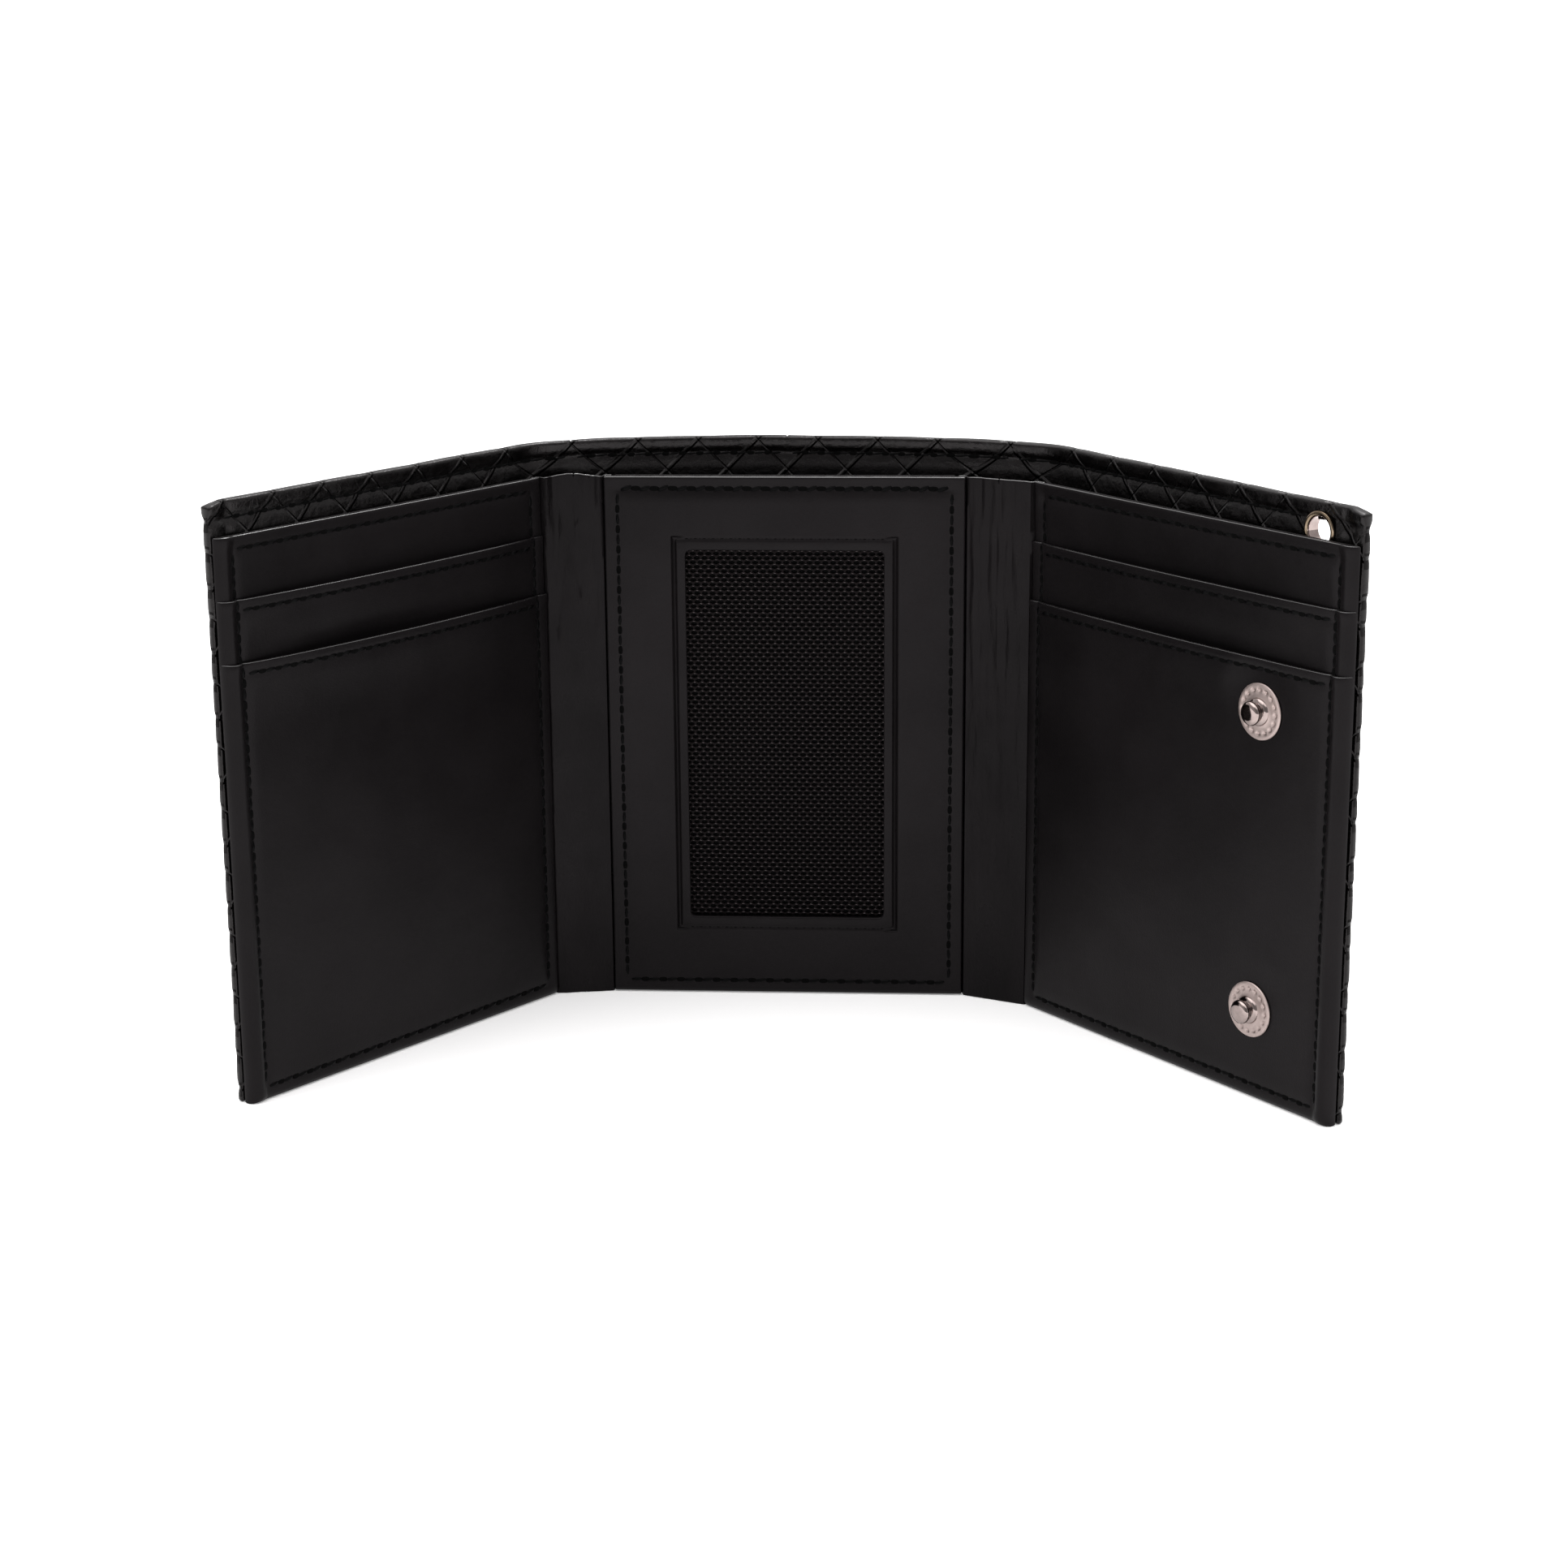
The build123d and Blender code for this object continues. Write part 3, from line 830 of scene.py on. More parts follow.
def build_pocket(side, number):
    section = f"{side}_panel"
    node = f"{side}_card_pocket_{number}"
    (a, b), _, (bottom, mouth) = span(node, section)
    runs = seam_runs(section)
    bottom = HIDDEN_BOTTOMS.get(number, bottom)
    free_end = a if side == "left" else b
    keys_s = [free_end + k * (1 if side == "left" else -1) for k in (0.3, 0.6, 1.0, 1.5, 2.1)]
    for run in runs:
        keys_s += [run[0][0] + k for k in (-0.6, 0, 0.6)]
        keys_s += [run[1][0] + k for k in (-0.6, 0, 0.6)]
    drop = mouth - (TOP_SEAM_DROP if number == 1 else mm("mouth_seam"))
    keys_z = [drop - 0.6, drop, drop + 0.6, 2.0, 2.6, 3.2]
    columns = lines(a, b, 1.1, sorted({round(k, 2) for k in keys_s}))
    rows = lines(bottom, mouth, 1.1, keys_z)
    obj = flat_grid(node + "_leather", columns, rows)
    if side == "right" and number == 3:
        for name in ("stud_upper", "stud_lower"):
            s, _, z = SNAPS[name]
            cut_circle(obj, s, z, 1.6)
    thickness = 0.58 if number > 1 else 0.55
    thicken(obj, thickness, 0.2)
    edge = mark_highlight_faces(obj, mouth)

    def change(s, d, z):
        share = 1 - d / thickness
        seam = run_distance(runs, s, z)
        depth = front_face(section, number, s, z) + d
        depth += share * 0.24 * bump(seam, 0.7)
        depth -= share * 0.16 * ease((z - drop - 0.2) / 0.7) * ease((mouth - z + 0.25) / 0.5)
        depth -= 0.03 * wander(s, z, 5, 4.5) * share * clear_of_studs(section, s, z)
        lift = crumple(section, s, z) if number == 1 else 0.0
        return s, rolled(section, s, z, depth) - lift, z + 0.25 * lift

    settle(obj, change, rigid(section))
    dress(obj, "smooth_leather", "burnished_edge_highlight")
    # Top faces take the lighter burnished colour: painted highlight
    for face, in_highlight in zip(obj.data.polygons, edge):
        face.material_index = int(in_highlight)
    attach(obj, section)
    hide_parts(node)
    return obj


def crumple(section, s, z):
    """The top corner beside the right fold is creased."""
    if section != "right_panel":
        return 0.0
    away = s - PANEL_ENDS[section][0]
    near = exp(-away / 7.0) * ease((z - 84) / 14)
    return 0.35 * near * noise.noise(Vector((away / 2.2, z / 3.5, 3.3)))


def window_edge(x, z):
    """The nearest point of the window's outline."""
    half = mm("window_width") / 2
    low, high, r = mm("window_bottom"), mm("window_top"), mm("window_corner")
    cx = min(max(x, -half + r), half - r)
    cz = min(max(z, low + r), high - r)
    away = hypot(x - cx, z - cz)
    if away > 1e-6 and abs(x) > half - r and (z < low + r or z > high - r):
        return cx + (x - cx) * r / away, cz + (z - cz) * r / away
    sides = ((abs(abs(x) - half), 0), (abs(z - low), 1), (abs(z - high), 2))
    which = min(sides)[1]
    if which == 0:
        return (half if x > 0 else -half), z
    return x, (low if which == 1 else high)


def in_window(x, z):
    half = mm("window_width") / 2
    low, high, r = mm("window_bottom"), mm("window_top"), mm("window_corner")
    if not (-half < x < half and low < z < high):
        return False
    cx = min(max(x, -half + r), half - r)
    cz = min(max(z, low + r), high - r)
    return hypot(x - cx, z - cz) < r or cx == x or cz == z


def window_distance(x, z):
    half = mm("window_width") / 2
    low, high = mm("window_bottom"), mm("window_top")
    return max(abs(x) - half, low - z, z - high)


def build_window_panel():
    half = mm("window_width") / 2
    low, high, seam = mm("window_bottom"), mm("window_top"), mm("window_seam")
    runs = seam_runs("center")
    (a, b), _, _ = WINDOW
    line = [seam + k for k in (-0.75, -0.54, -0.36, -0.18, 0, 0.18, 0.36, 0.54, 0.75)]
    corner = [0, -0.6, -1.2, -1.8]
    keys_s = [sign * (half + k) for sign in (-1, 1) for k in line + corner]
    keys_s += [run[0][0] + k for run in runs for k in (-0.6, 0, 0.6)]
    keys_s += [run[1][0] + k for run in runs for k in (-0.6, 0, 0.6)]
    keys_z = [low - k for k in line + corner] + [high + k for k in line + corner]
    keys_z += [2.0, 2.6, 3.2, HEIGHT - 2.9, HEIGHT - 2.3, HEIGHT - 1.7]
    columns = lines(a, b, 1.1, sorted({round(k, 2) for k in keys_s}))
    rows = lines(0, HEIGHT, 1.1, [0.3, 0.7, 1.1] + sorted({round(k, 2) for k in keys_z}))
    obj = flat_grid("id_window_leather", columns, rows)
    cut_out(obj, in_window, window_edge, lambda x, z: window_distance(x, z) < 1.0)
    thickness = 1.7
    thicken(obj, thickness, 0.3)
    edge = mark_highlight_faces(obj, HEIGHT)
    heavy = [run for run in runs if run[2] == "heavy"]

    def change(s, d, z):
        t = d / thickness
        out = window_distance(s, z)
        back = 0.95 + (thickness - 0.95) * ease((out - 6.5) / 2.5)
        depth = t * back
        share = 1 - t
        across = abs(out - seam)
        upright = abs(s) > half + 1
        groove = 0.32 * bump(across - 0.32, 0.15) if upright else 0.17 * bump(across, 0.26)
        depth += share * groove
        depth += share * 0.24 * bump(run_distance(runs, s, z), 0.7)
        depth += share * 0.2 * bump(run_distance(heavy, s, z), 0.95)
        depth -= share * 0.12 * bump(out - 0.95, 1.0)
        depth -= share * 0.08 * wander(s, z, 2, 15)
        return s, rolled("center", 0, z, depth), z

    settle(obj, change, rigid("center"))
    dress(obj, "smooth_leather", "burnished_edge_highlight")
    # Top faces take the lighter burnished colour: painted highlight
    for face, in_highlight in zip(obj.data.polygons, edge):
        face.material_index = int(in_highlight)
    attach(obj, "center")
    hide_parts("id_window_panel", "id_pocket_turned_edge")
    return obj


def build_net():
    """The net: staggered six-sided cells whose faces are inset and opened."""
    wide, high = mm("net_width"), mm("net_height")
    half = mm("window_width") / 2 + 1.6
    low, top = mm("window_bottom") - 1.6, mm("window_top") + 1.6
    columns = int(2 * half / wide) + 1
    rows = int((top - low) / high) + 1
    points, faces, index = [], [], {}

    def point(x, z):
        key = (round(x * 50), round(z * 50))
        if key not in index:
            index[key] = len(points)
            points.append((x, 0, z))
        return index[key]

    bpy.ops.object.select_all(action="DESELECT")
    bpy.ops.mesh.primitive_circle_add(vertices=6, radius=1, fill_type="NGON")
    obj = bpy.context.active_object
    obj.name = obj.data.name = "window_net"
    shoulder = high * 0.62
    for row in range(rows):
        for column in range(columns):
            x = -half + (column + (row % 2) * 0.5) * wide
            z = low + row * high
            ring = [(0, high - shoulder / 2 + 0.0), (-wide / 2, shoulder / 2), (-wide / 2, -shoulder / 2)]
            ring += [(0, -high + shoulder / 2), (wide / 2, -shoulder / 2), (wide / 2, shoulder / 2)]
            faces.append([point(x + dx, z + dz) for dx, dz in ring])
    obj.data.clear_geometry()
    obj.data.from_pydata(points, [], faces)
    obj.data.update()
    only(obj)
    bpy.ops.object.mode_set(mode="EDIT")
    bpy.ops.mesh.select_mode(type="FACE")
    bpy.ops.mesh.select_all(action="SELECT")
    bpy.ops.mesh.normals_make_consistent(inside=False)
    bpy.ops.mesh.inset(thickness=0.17, use_individual=True)
    bpy.ops.mesh.delete(type="FACE")
    bpy.ops.object.mode_set(mode="OBJECT")
    if obj.data.polygons[0].normal.y > 0:
        bpy.ops.object.mode_set(mode="EDIT")
        bpy.ops.mesh.select_all(action="SELECT")
        bpy.ops.mesh.flip_normals()
        bpy.ops.object.mode_set(mode="OBJECT")
    thickness = 0.24
    thicken(obj, thickness)

    def change(s, d, z):
        row = (z - low) / high
        knot = bump(abs(row - round(row)) - 0.5, 0.22)
        depth = 1.06 + d
        depth += 0.09 * sin(2 * pi * (s / wide + row / 2)) * knot
        inside = ease(-window_distance(s, z) / 8)
        depth += 0.22 * inside * wander(s, z, 7, 16)
        return s, depth, z

    settle(obj, change, rigid("center"))
    dress(obj, "window_mesh")
    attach(obj, "center")
    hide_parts("id_window_mesh")
    build_knots(columns, rows, half, low)
    return obj


def build_knots(columns, rows, half, low):
    """The short shiny floats of yarn where the net's cells meet, in the lighter knot colour: painted glints."""
    wide, high = mm("net_width"), mm("net_height")
    shape, sides = small_shape((0.62, 0.2, 0.2), 5, 4)
    points, faces = [], []
    for row in range(rows):
        for column in range(columns):
            x = -half + (column + (row % 2) * 0.5) * wide
            z = low + row * high
            if window_distance(x, z) > 0.6:
                continue
            lift = 0.22 * ease(-window_distance(x, z) / 8) * wander(x, z, 7, 16)
            slope = 0.35 * noise.noise(Vector((x * 2.3, z * 2.1, 4)))
            first = len(points)
            for p in shape:
                up = p.y + slope * p.x
                points.append(place("center", x + p.x, 1.0 + lift - p.z, z + high * 0.62 + up))
            faces += [[first + k for k in face] for face in sides]
    obj = made_of("window_net_knots", points, faces)
    dress(obj, "knot_glint_yarn")
    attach(obj, "center")


def made_of(name, points, faces):
    """A piece whose repeated forms are given by their points."""
    bpy.ops.object.select_all(action="DESELECT")
    bpy.ops.mesh.primitive_circle_add(vertices=6, radius=1)
    obj = bpy.context.active_object
    obj.name = obj.data.name = name
    obj.data.clear_geometry()
    obj.data.from_pydata(points, [], faces)
    obj.data.update()
    only(obj)
    bpy.ops.object.mode_set(mode="EDIT")
    bpy.ops.mesh.select_all(action="SELECT")
    bpy.ops.mesh.normals_make_consistent(inside=False)
    bpy.ops.object.mode_set(mode="OBJECT")
    bpy.ops.object.shade_smooth_by_angle(angle=radians(60))
    return obj


def build_backing():
    """The cloth behind the net."""
    half = mm("window_width") / 2 + 4
    low, top = mm("window_bottom") - 4, mm("window_top") + 4
    obj = flat_grid("window_backing", lines(-half, half, 1.6), lines(low, top, 1.6))
    thicken(obj, 0.12)

    def change(s, d, z):
        inside = ease(-window_distance(s, z) / 6)
        return s, 1.66 + d - 0.1 * inside * (1 + wander(s, z, 11, 12)) * 0.5, z

    settle(obj, change, rigid("center"))
    dress(obj, "lining")
    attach(obj, "center")
    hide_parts("id_pocket_backing")
    return obj


def build_divider(section):
    """The leather behind the pockets of one panel, which is the bill compartment's front."""
    inset = {"center": 1.9, "left_panel": 2.4, "right_panel": 1.9}[section]
    if section == "center":
        a, b = WINDOW[0][0] + inset, WINDOW[0][1] - inset
        node = "center_bill_divider"
    else:
        a, b = PANEL_ENDS[section]
        if section == "left_panel":
            a, b = a + 0.15, b - inset
        else:
            a, b = a + inset, b - 0.15
        node = section.split("_")[0] + "_bill_divider"
    obj = flat_grid(node.replace("_bill", ""), lines(a, b, 1.5), lines(0, HEIGHT, 1.5, [101, 101.5]))
    thickness = 0.52
    thicken(obj, thickness, 0.2)

    def change(s, d, z):
        depth = 1.85 + d
        if section != "center":
            depth += 0.9 * dip(section, 1, s, z)
            depth = rolled(section, s, z, depth) - crumple(section, s, z) * 0.8
        return s, depth, z

    settle(obj, change, rigid(section))
    dress(obj, "smooth_leather")
    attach(obj, section)
    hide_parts(node)
    return obj


def strip_front(side, s, z):
    """Depth of a strip's front face, and how far its top is lifted."""
    if side == "left":
        inner, outer = LEFT_CREASE.x, LEFT_CREASE.x - LEFT_STRIP
        t = (inner - s) / LEFT_STRIP
    else:
        inner, outer = RIGHT_CREASE.x, RIGHT_CREASE.x + RIGHT_STRIP
        t = (s - inner) / RIGHT_STRIP
    width = abs(outer - inner)
    away = min(t, 1 - t) * width
    depth = 0.3 + 1.5 * (1 - ease((away + 0.4) / 0.62))
    inside = ease(away / 1.5)
    seed = 21 if side == "left" else 27
    top = ease((z - 40) / 55)
    folds = noise.noise(Vector((s / 1.25, z / 17.0, seed)))
    folds += 0.55 * noise.noise(Vector((s / 0.75, z / 8.0, seed + 3)))
    folds += 0.5 * abs(noise.noise(Vector((s / 0.62, z / 11.0, seed + 8))))
    depth -= inside * folds * (0.08 + (0.4 if side == "left" else 0.2) * top)
    dents = noise.noise(Vector((s / 3.0, z / 6.0, seed + 5)))
    depth += inside * 0.12 * dents * ease((30 - z) / 24)
    if side == "left":
        depth -= inside * 0.55 * ease((z - 86) / 14)
        lift = 0.75 * inside * bump(t - 0.55, 0.4) * ease((z - 84) / 16)
    else:
        depth -= inside * 0.12 * ease((z - 70) / 30)
        lift = 0.12 * inside * ease((z - 90) / 10)
    return depth, lift


def build_strip(side, part):
    """Half of a strip, with the fold that it crosses."""
    if side == "left":
        crease, middle = LEFT_CREASE.x, LEFT_MIDDLE
        outer = crease - LEFT_STRIP
        pair = ("left_spine", "center") if part == "inner" else ("left_panel", "left_spine")
        a, b = (middle, crease + 1.5) if part == "inner" else (outer - 1.5, middle)
    else:
        crease, middle = RIGHT_CREASE.x, RIGHT_MIDDLE
        outer = crease + RIGHT_STRIP
        pair = ("center", "right_spine") if part == "inner" else ("right_spine", "right_panel")
        a, b = (crease - 1.5, middle) if part == "inner" else (middle, outer + 1.5)
    obj = flat_grid(f"{side}_strip_{part}", lines(a, b, 0.42), lines(0, HEIGHT, 1.0, [101, 101.5]))
    thickness = 0.6
    thicken(obj, thickness, 0.22, lambda p, q: max(p.z, q.z) < 0.5 or min(p.z, q.z) > HEIGHT - 0.5)
    edge = mark_highlight_faces(obj, HEIGHT)

    def change(s, d, z):
        depth, lift = strip_front(side, s, z)
        back = depth + thickness
        return s, min(depth + d, back), z + lift

    reach = 1.6
    settle(obj, change, bent(*pair, reach))
    dress(obj, "creased_leather", "burnished_edge_highlight")
    # Top faces take the lighter burnished colour: painted highlight
    for face, in_highlight in zip(obj.data.polygons, edge):
        face.material_index = int(in_highlight)
    bend_piece(obj, *pair, reach, 2.0)
    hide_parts(f"{side}_spine_strip" if part == "inner" else f"{side}_spine_bill_divider")
    return obj


# ---------------------------------------------------------------------------------------------
# Cover

COVER_PIECES = {
    "left": ("left_panel", "left_spine", LEFT_END - 0.15, LEFT_MIDDLE, 3.2),
    "middle_left": ("left_spine", "center", LEFT_MIDDLE, 0.0, 3.6),
    "middle_right": ("center", "right_spine", 0.0, RIGHT_MIDDLE, 3.6),
    "right": ("right_spine", "right_panel", RIGHT_MIDDLE, RIGHT_END + 0.15, 3.6),
}


def top_lean(s):
    """How far the cover's top edge leans back."""
    stops = [
        (LEFT_END, mm("edge_lean")),
        (CREASES["left_panel", "left_spine"], mm("left_fold_lean")),
        (LEFT_CREASE.x, mm("crease_lean")),
        (0.0, mm("center_lean")),
        (RIGHT_CREASE.x, mm("crease_lean")),
        (CREASES["right_spine", "right_panel"], mm("crease_lean")),
        (RIGHT_END, mm("edge_lean")),
    ]
    if s <= stops[0][0]:
        return stops[0][1]
    for (a, low), (b, high) in zip(stops, stops[1:]):
        if s <= b:
            t = (s - a) / (b - a)
            if abs(a) < 1e-6 or abs(b) < 1e-6:
                t = sin(t * pi / 2) if abs(b) < 1e-6 else 1 - cos(t * pi / 2)
            return low + (high - low) * t
    return stops[-1][1]


def lean(s, z):
    return top_lean(s) * max(0.0, (z - 20) / (COVER_HEIGHT - 20))


def weave(s, z):
    """Height of the embossed weave, from 0 in a groove to 1 on a strand's crown."""
    strand = mm("strand")
    p, q = (s + z) / sqrt(2) / strand, (s - z) / sqrt(2) / strand
    across, along = abs(p - floor(p) - 0.5), abs(q - floor(q) - 0.5)
    if (floor(p) + floor(q)) % 2:
        across, along = along, across
    side = 1 - ease((across - 0.38) / 0.12)
    return side * (0.15 + 0.85 * max(0.0, cos(pi * along)) ** 0.55)


def cover_depth(s, t, z):
    """Depth of a cover point. t goes from 0 on the inside to 1 on the outside."""
    front, back = 2.75, 3.85
    seam = COVER_HEIGHT - mm("hem_seam")
    roll = ease((z - seam - 0.3) / 1.2)
    pinch = bump(z - seam, 0.8)
    press = weave(s, z) * mm("relief")
    outside = press + 0.22 * roll - 0.28 * pinch
    inside = 0.0
    if z > FACING_BOTTOM - 2:
        shown = ease((z - FACING_BOTTOM + 2) / 2)
        inside = shown * (press * 0.3 + 0.35 * roll - 0.25 * pinch)
    low_seam = bump(z - 2.8, 0.7)
    ends = min(s - COVER_PIECES["left"][2], COVER_PIECES["right"][3] - s)
    outside -= 0.22 * max(low_seam, bump(ends - 2.8, 0.7))
    if z > FACING_BOTTOM - 2:
        inside += shown * (0.35 * ease((3.6 - ends) / 1.0) - 0.3 * bump(ends - 4.0, 0.6))
    ripple = 0.16 * wander(s, z, 31, 17) * ease((z - 60) / 30)
    depth = front + (back - front) * t + ripple
    return depth + t * outside - (1 - t) * inside + lean(s, z)


def build_cover(name):
    left, right, a, b, reach = COVER_PIECES[name]
    seam = COVER_HEIGHT - mm("hem_seam")
    keys_z = [seam - 0.8, seam - 0.4, seam, seam + 0.4, seam + 0.8, 2.2, 2.8, 3.4]
    columns = lines(a, b, 0.85)
    rows = lines(0, COVER_HEIGHT, 0.85, keys_z)
    obj = flat_grid(f"cover_{name}", columns, rows)
    if name == "right":
        cut_circle(obj, EYELET_S, EYELET_Z, 2.9)
    if name == "left":
        for socket in ("socket_upper", "socket_lower"):
            s, _, z = SNAPS[socket]
            cut_circle(obj, s, z, 3.25)

    def rounded(p, q):
        free = a if name == "left" else b if name == "right" else None
        if max(p.z, q.z) < 0.5 or min(p.z, q.z) > COVER_HEIGHT - 0.5:
            return True
        return free is not None and abs(p.x - free) < 0.5 and abs(q.x - free) < 0.5

    thicken(obj, 1.1, 0.45, rounded, segments=4)
    facing = [face.center.y < 0.2 for face in obj.data.polygons]

    def change(s, d, z):
        t = d / 1.1
        corner = 0.0
        if name in ("left", "right"):
            free = a if name == "left" else b
            away = abs(s - free)
            if away < 3 and z > COVER_HEIGHT - 3:
                corner = 0.8 * (1 - away / 3) * (1 - (COVER_HEIGHT - z) / 3)
        return s, cover_depth(s, t, z), z - corner + 0.12 * wander(s, 0, 41, 14) * ease((z - 90) / 18)

    settle(obj, change, bent(left, right, reach))
    dress(obj, "woven_leather", "pressed_leather")
    for face, inside in zip(obj.data.polygons, facing):
        face.material_index = int(inside)
    bend_piece(obj, left, right, reach, 3.4)
    nodes = {
        "left": ["left_cover", "left_cover_facing", "left_cover_hem", "left_spine_cover"],
        "middle_left": ["center_cover", "center_cover_hem", "left_spine_cover_facing"],
        "middle_right": ["center_cover_facing", "right_spine_cover_facing", "right_spine_cover_hem"],
        "right": ["right_cover", "right_cover_facing", "right_cover_hem", "right_spine_cover"],
    }[name]
    if name == "left":
        nodes.append("left_spine_cover_hem")
    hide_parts(*nodes)
    return obj


def build_lining(name):
    """The cloth inside the cover, below its facing."""
    left, right, a, b, reach = COVER_PIECES[name]
    if name == "left":
        a += 1.2
    if name == "right":
        b -= 1.2
    top, low = FACING_BOTTOM + 0.6, 0.8
    obj = flat_grid(f"lining_{name}", lines(a, b, 1.7), lines(low, top, 2.0))
    for socket in ("socket_upper", "socket_lower") if name == "left" else ():
        s, _, z = SNAPS[socket]
        cut_circle(obj, s, z, 3.3)
    thicken(obj, 0.12)

    def change(s, d, z):
        ripple = 0.16 * wander(s, z, 31, 17) * ease((z - 60) / 30)
        shown = ease((z - FACING_BOTTOM + 2) / 2)
        depth = 2.56 + d + ripple + lean(s, z) - 0.3 * shown
        return s, depth, z

    settle(obj, change, bent(left, right, reach))
    dress(obj, "lining")
    bend_piece(obj, left, right, reach, 3.4)
    nodes = {
        "left": ["left_cover_lining", "left_spine_cover_lining"],
        "middle_left": ["center_cover_lining"],
        "middle_right": [],
        "right": ["right_cover_lining", "right_spine_cover_lining"],
    }[name]
    if nodes:
        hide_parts(*nodes)
    return obj


# ---------------------------------------------------------------------------------------------
# Sewing


def small_shape(size, segments, rings):
    """A rounded form that is copied along a seam, as vertices and faces."""
    bpy.ops.object.select_all(action="DESELECT")
    bpy.ops.mesh.primitive_uv_sphere_add(segments=segments, ring_count=rings, radius=0.5)
    obj = bpy.context.active_object
    only(obj)
    bpy.ops.transform.rotate(value=pi / 2, orient_axis="Y", center_override=(0, 0, 0))
    bpy.ops.object.transform_apply(location=True, rotation=True, scale=True)
    points = []
    for vertex in obj.data.vertices:
        x, y, z = vertex.co * 2
        x = (abs(x) ** 0.62) * (1 if x > 0 else -1)
        points.append(Vector((x * size[0] / 2, y * size[1] / 2, z * size[2] / 2)))
    faces = [tuple(face.vertices) for face in obj.data.polygons]
    bpy.data.objects.remove(obj)
    return points, faces


def sew(name, rows, surface, put, forward=1):
    """Sews rows of stitches on a surface. A row is start, end, pitch, length, thickness and
    slant. surface gives the depth of a point."""
    stitch = small_shape((1, 1, 1), 6, 6)
    points, faces, marks = [], [], []
    for (a, low), (b, high), pitch, length, thick, slant in rows:
        run = hypot(b - a, high - low)
        count = max(1, round(run / pitch))
        way = ((b - a) / run, (high - low) / run)
        side = (-way[1], way[0])
        for i in range(count):
            mid = (i + 0.5) * run / count
            jitter = 0.06 * noise.noise(Vector((mid * 3.1, a, low)))
            for kind in (0, 1):
                if kind == 0:
                    scale, centre = (length, thick, thick), mid
                    turn, rise = slant + jitter * 2, 0.08 * thick
                else:
                    # A flat dark blob between two stitches: painted shade of the needle hole
                    scale, centre = (length * 0.66, thick * 1.7, 0.3), mid + run / count / 2
                    turn, rise = 0.0, 0.02
                if kind and i == count - 1:
                    continue
                first = len(points)
                for p in stitch[0]:
                    x, y, h = p.x * scale[0], p.y * scale[1], p.z * scale[2]
                    x, y = x * cos(turn) - y * sin(turn), x * sin(turn) + y * cos(turn)
                    if kind == 0:
                        h -= 0.35 * thick * (2 * x / length) ** 2
                    s = a + way[0] * (centre + x) + side[0] * (y + jitter)
                    z = low + way[1] * (centre + x) + side[1] * (y + jitter)
                    depth = surface(s, z) - forward * (h - rise)
                    points.append(put(s, depth, z))
                for face in stitch[1]:
                    faces.append([first + k for k in face])
                    marks.append(kind)
    obj = made_of(name, points, faces)
    dress(obj, "thread", "needle_hole_shade")
    for face, mark in zip(obj.data.polygons, marks):
        face.material_index = mark
    return obj


def panel_surface(section):
    """Depth of the front leather of a section at a seam."""
    if section == "center":
        return lambda s, z: (0.22 + 0.2 * bump(z - HEIGHT + 2.3, 1)) - 0.08 * wander(s, z, 2, 15)
    mouths = MOUTHS[section.split("_")[0]]

    def depth(s, z):
        number = 3 if z < mouths[3] else 2 if z < mouths[2] else 1
        face = rolled(section, s, z, front_face(section, number, s, z) + 0.22)
        return face - (crumple(section, s, z) if number == 1 else 0.0)

    return depth


def sew_panel(section):
    pitch, length, thread = mm("stitch_pitch"), mm("stitch_length"), mm("thread")
    rows = []
    for start, end, kind in seam_runs(section):
        upright = start[0] == end[0]
        if kind == "heavy":
            rows.append((start, end, pitch, 2.9, 1.0, 0.35))
        elif upright:
            rows.append((start, end, 3.85, length, thread * 0.85, 0.0))
        else:
            rows.append((start, end, pitch, length, thread, 0.16))
    if section == "center":
        half, seam = mm("window_width") / 2, mm("window_seam")
        for z in (mm("window_bottom") - seam, mm("window_top") + seam):
            rows.append(((-half - 1.4, z), (half + 1.4, z), 1.7, 1.2, 0.3, 0.2))
        node = "center_stitching"
    else:
        node = section.split("_")[0] + "_stitching"
    obj = sew(f"{section}_seams", rows, panel_surface(section), rigid(section))
    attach(obj, section)
    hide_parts(node)
    return obj


def sew_cover(name, outside):
    left, right, a, b, reach = COVER_PIECES[name]
    top = COVER_HEIGHT - mm("hem_seam")
    rows = [((a + (3.5 if name == "left" else 0.4), top), (b - (3.5 if name == "right" else 0.4), top),
             3.1, 2.3, 0.5, 0.1)]
    if outside:
        start = a + 2.8 if name == "left" else a + 0.4
        end = b - 2.8 if name == "right" else b - 0.4
        rows.append(((start, 2.8), (end, 2.8), 3.1, 2.3, 0.5, 0.1))
        if name == "left":
            rows.append(((a + 2.8, 3.4), (a + 2.8, top - 0.5), 3.1, 2.3, 0.5, 0.0))
        if name == "right":
            rows.append(((b - 2.8, 3.4), (b - 2.8, top - 0.5), 3.1, 2.3, 0.5, 0.0))
    if name == "right" and not outside:
        (start, low), (end, _), *rest = rows[0]
        rows = [((start, low), (EYELET_S - 3.9, low), *rest)]
    share = 1.0 if outside else 0.0
    obj = sew(
        f"cover_{name}_seams_{'outside' if outside else 'inside'}",
        rows,
        lambda s, z: cover_depth(s, share, z),
        bent(left, right, reach),
        forward=-1 if outside else 1,
    )
    bend_piece(obj, left, right, reach, 3.4)
    return obj


# ---------------------------------------------------------------------------------------------
# Metal


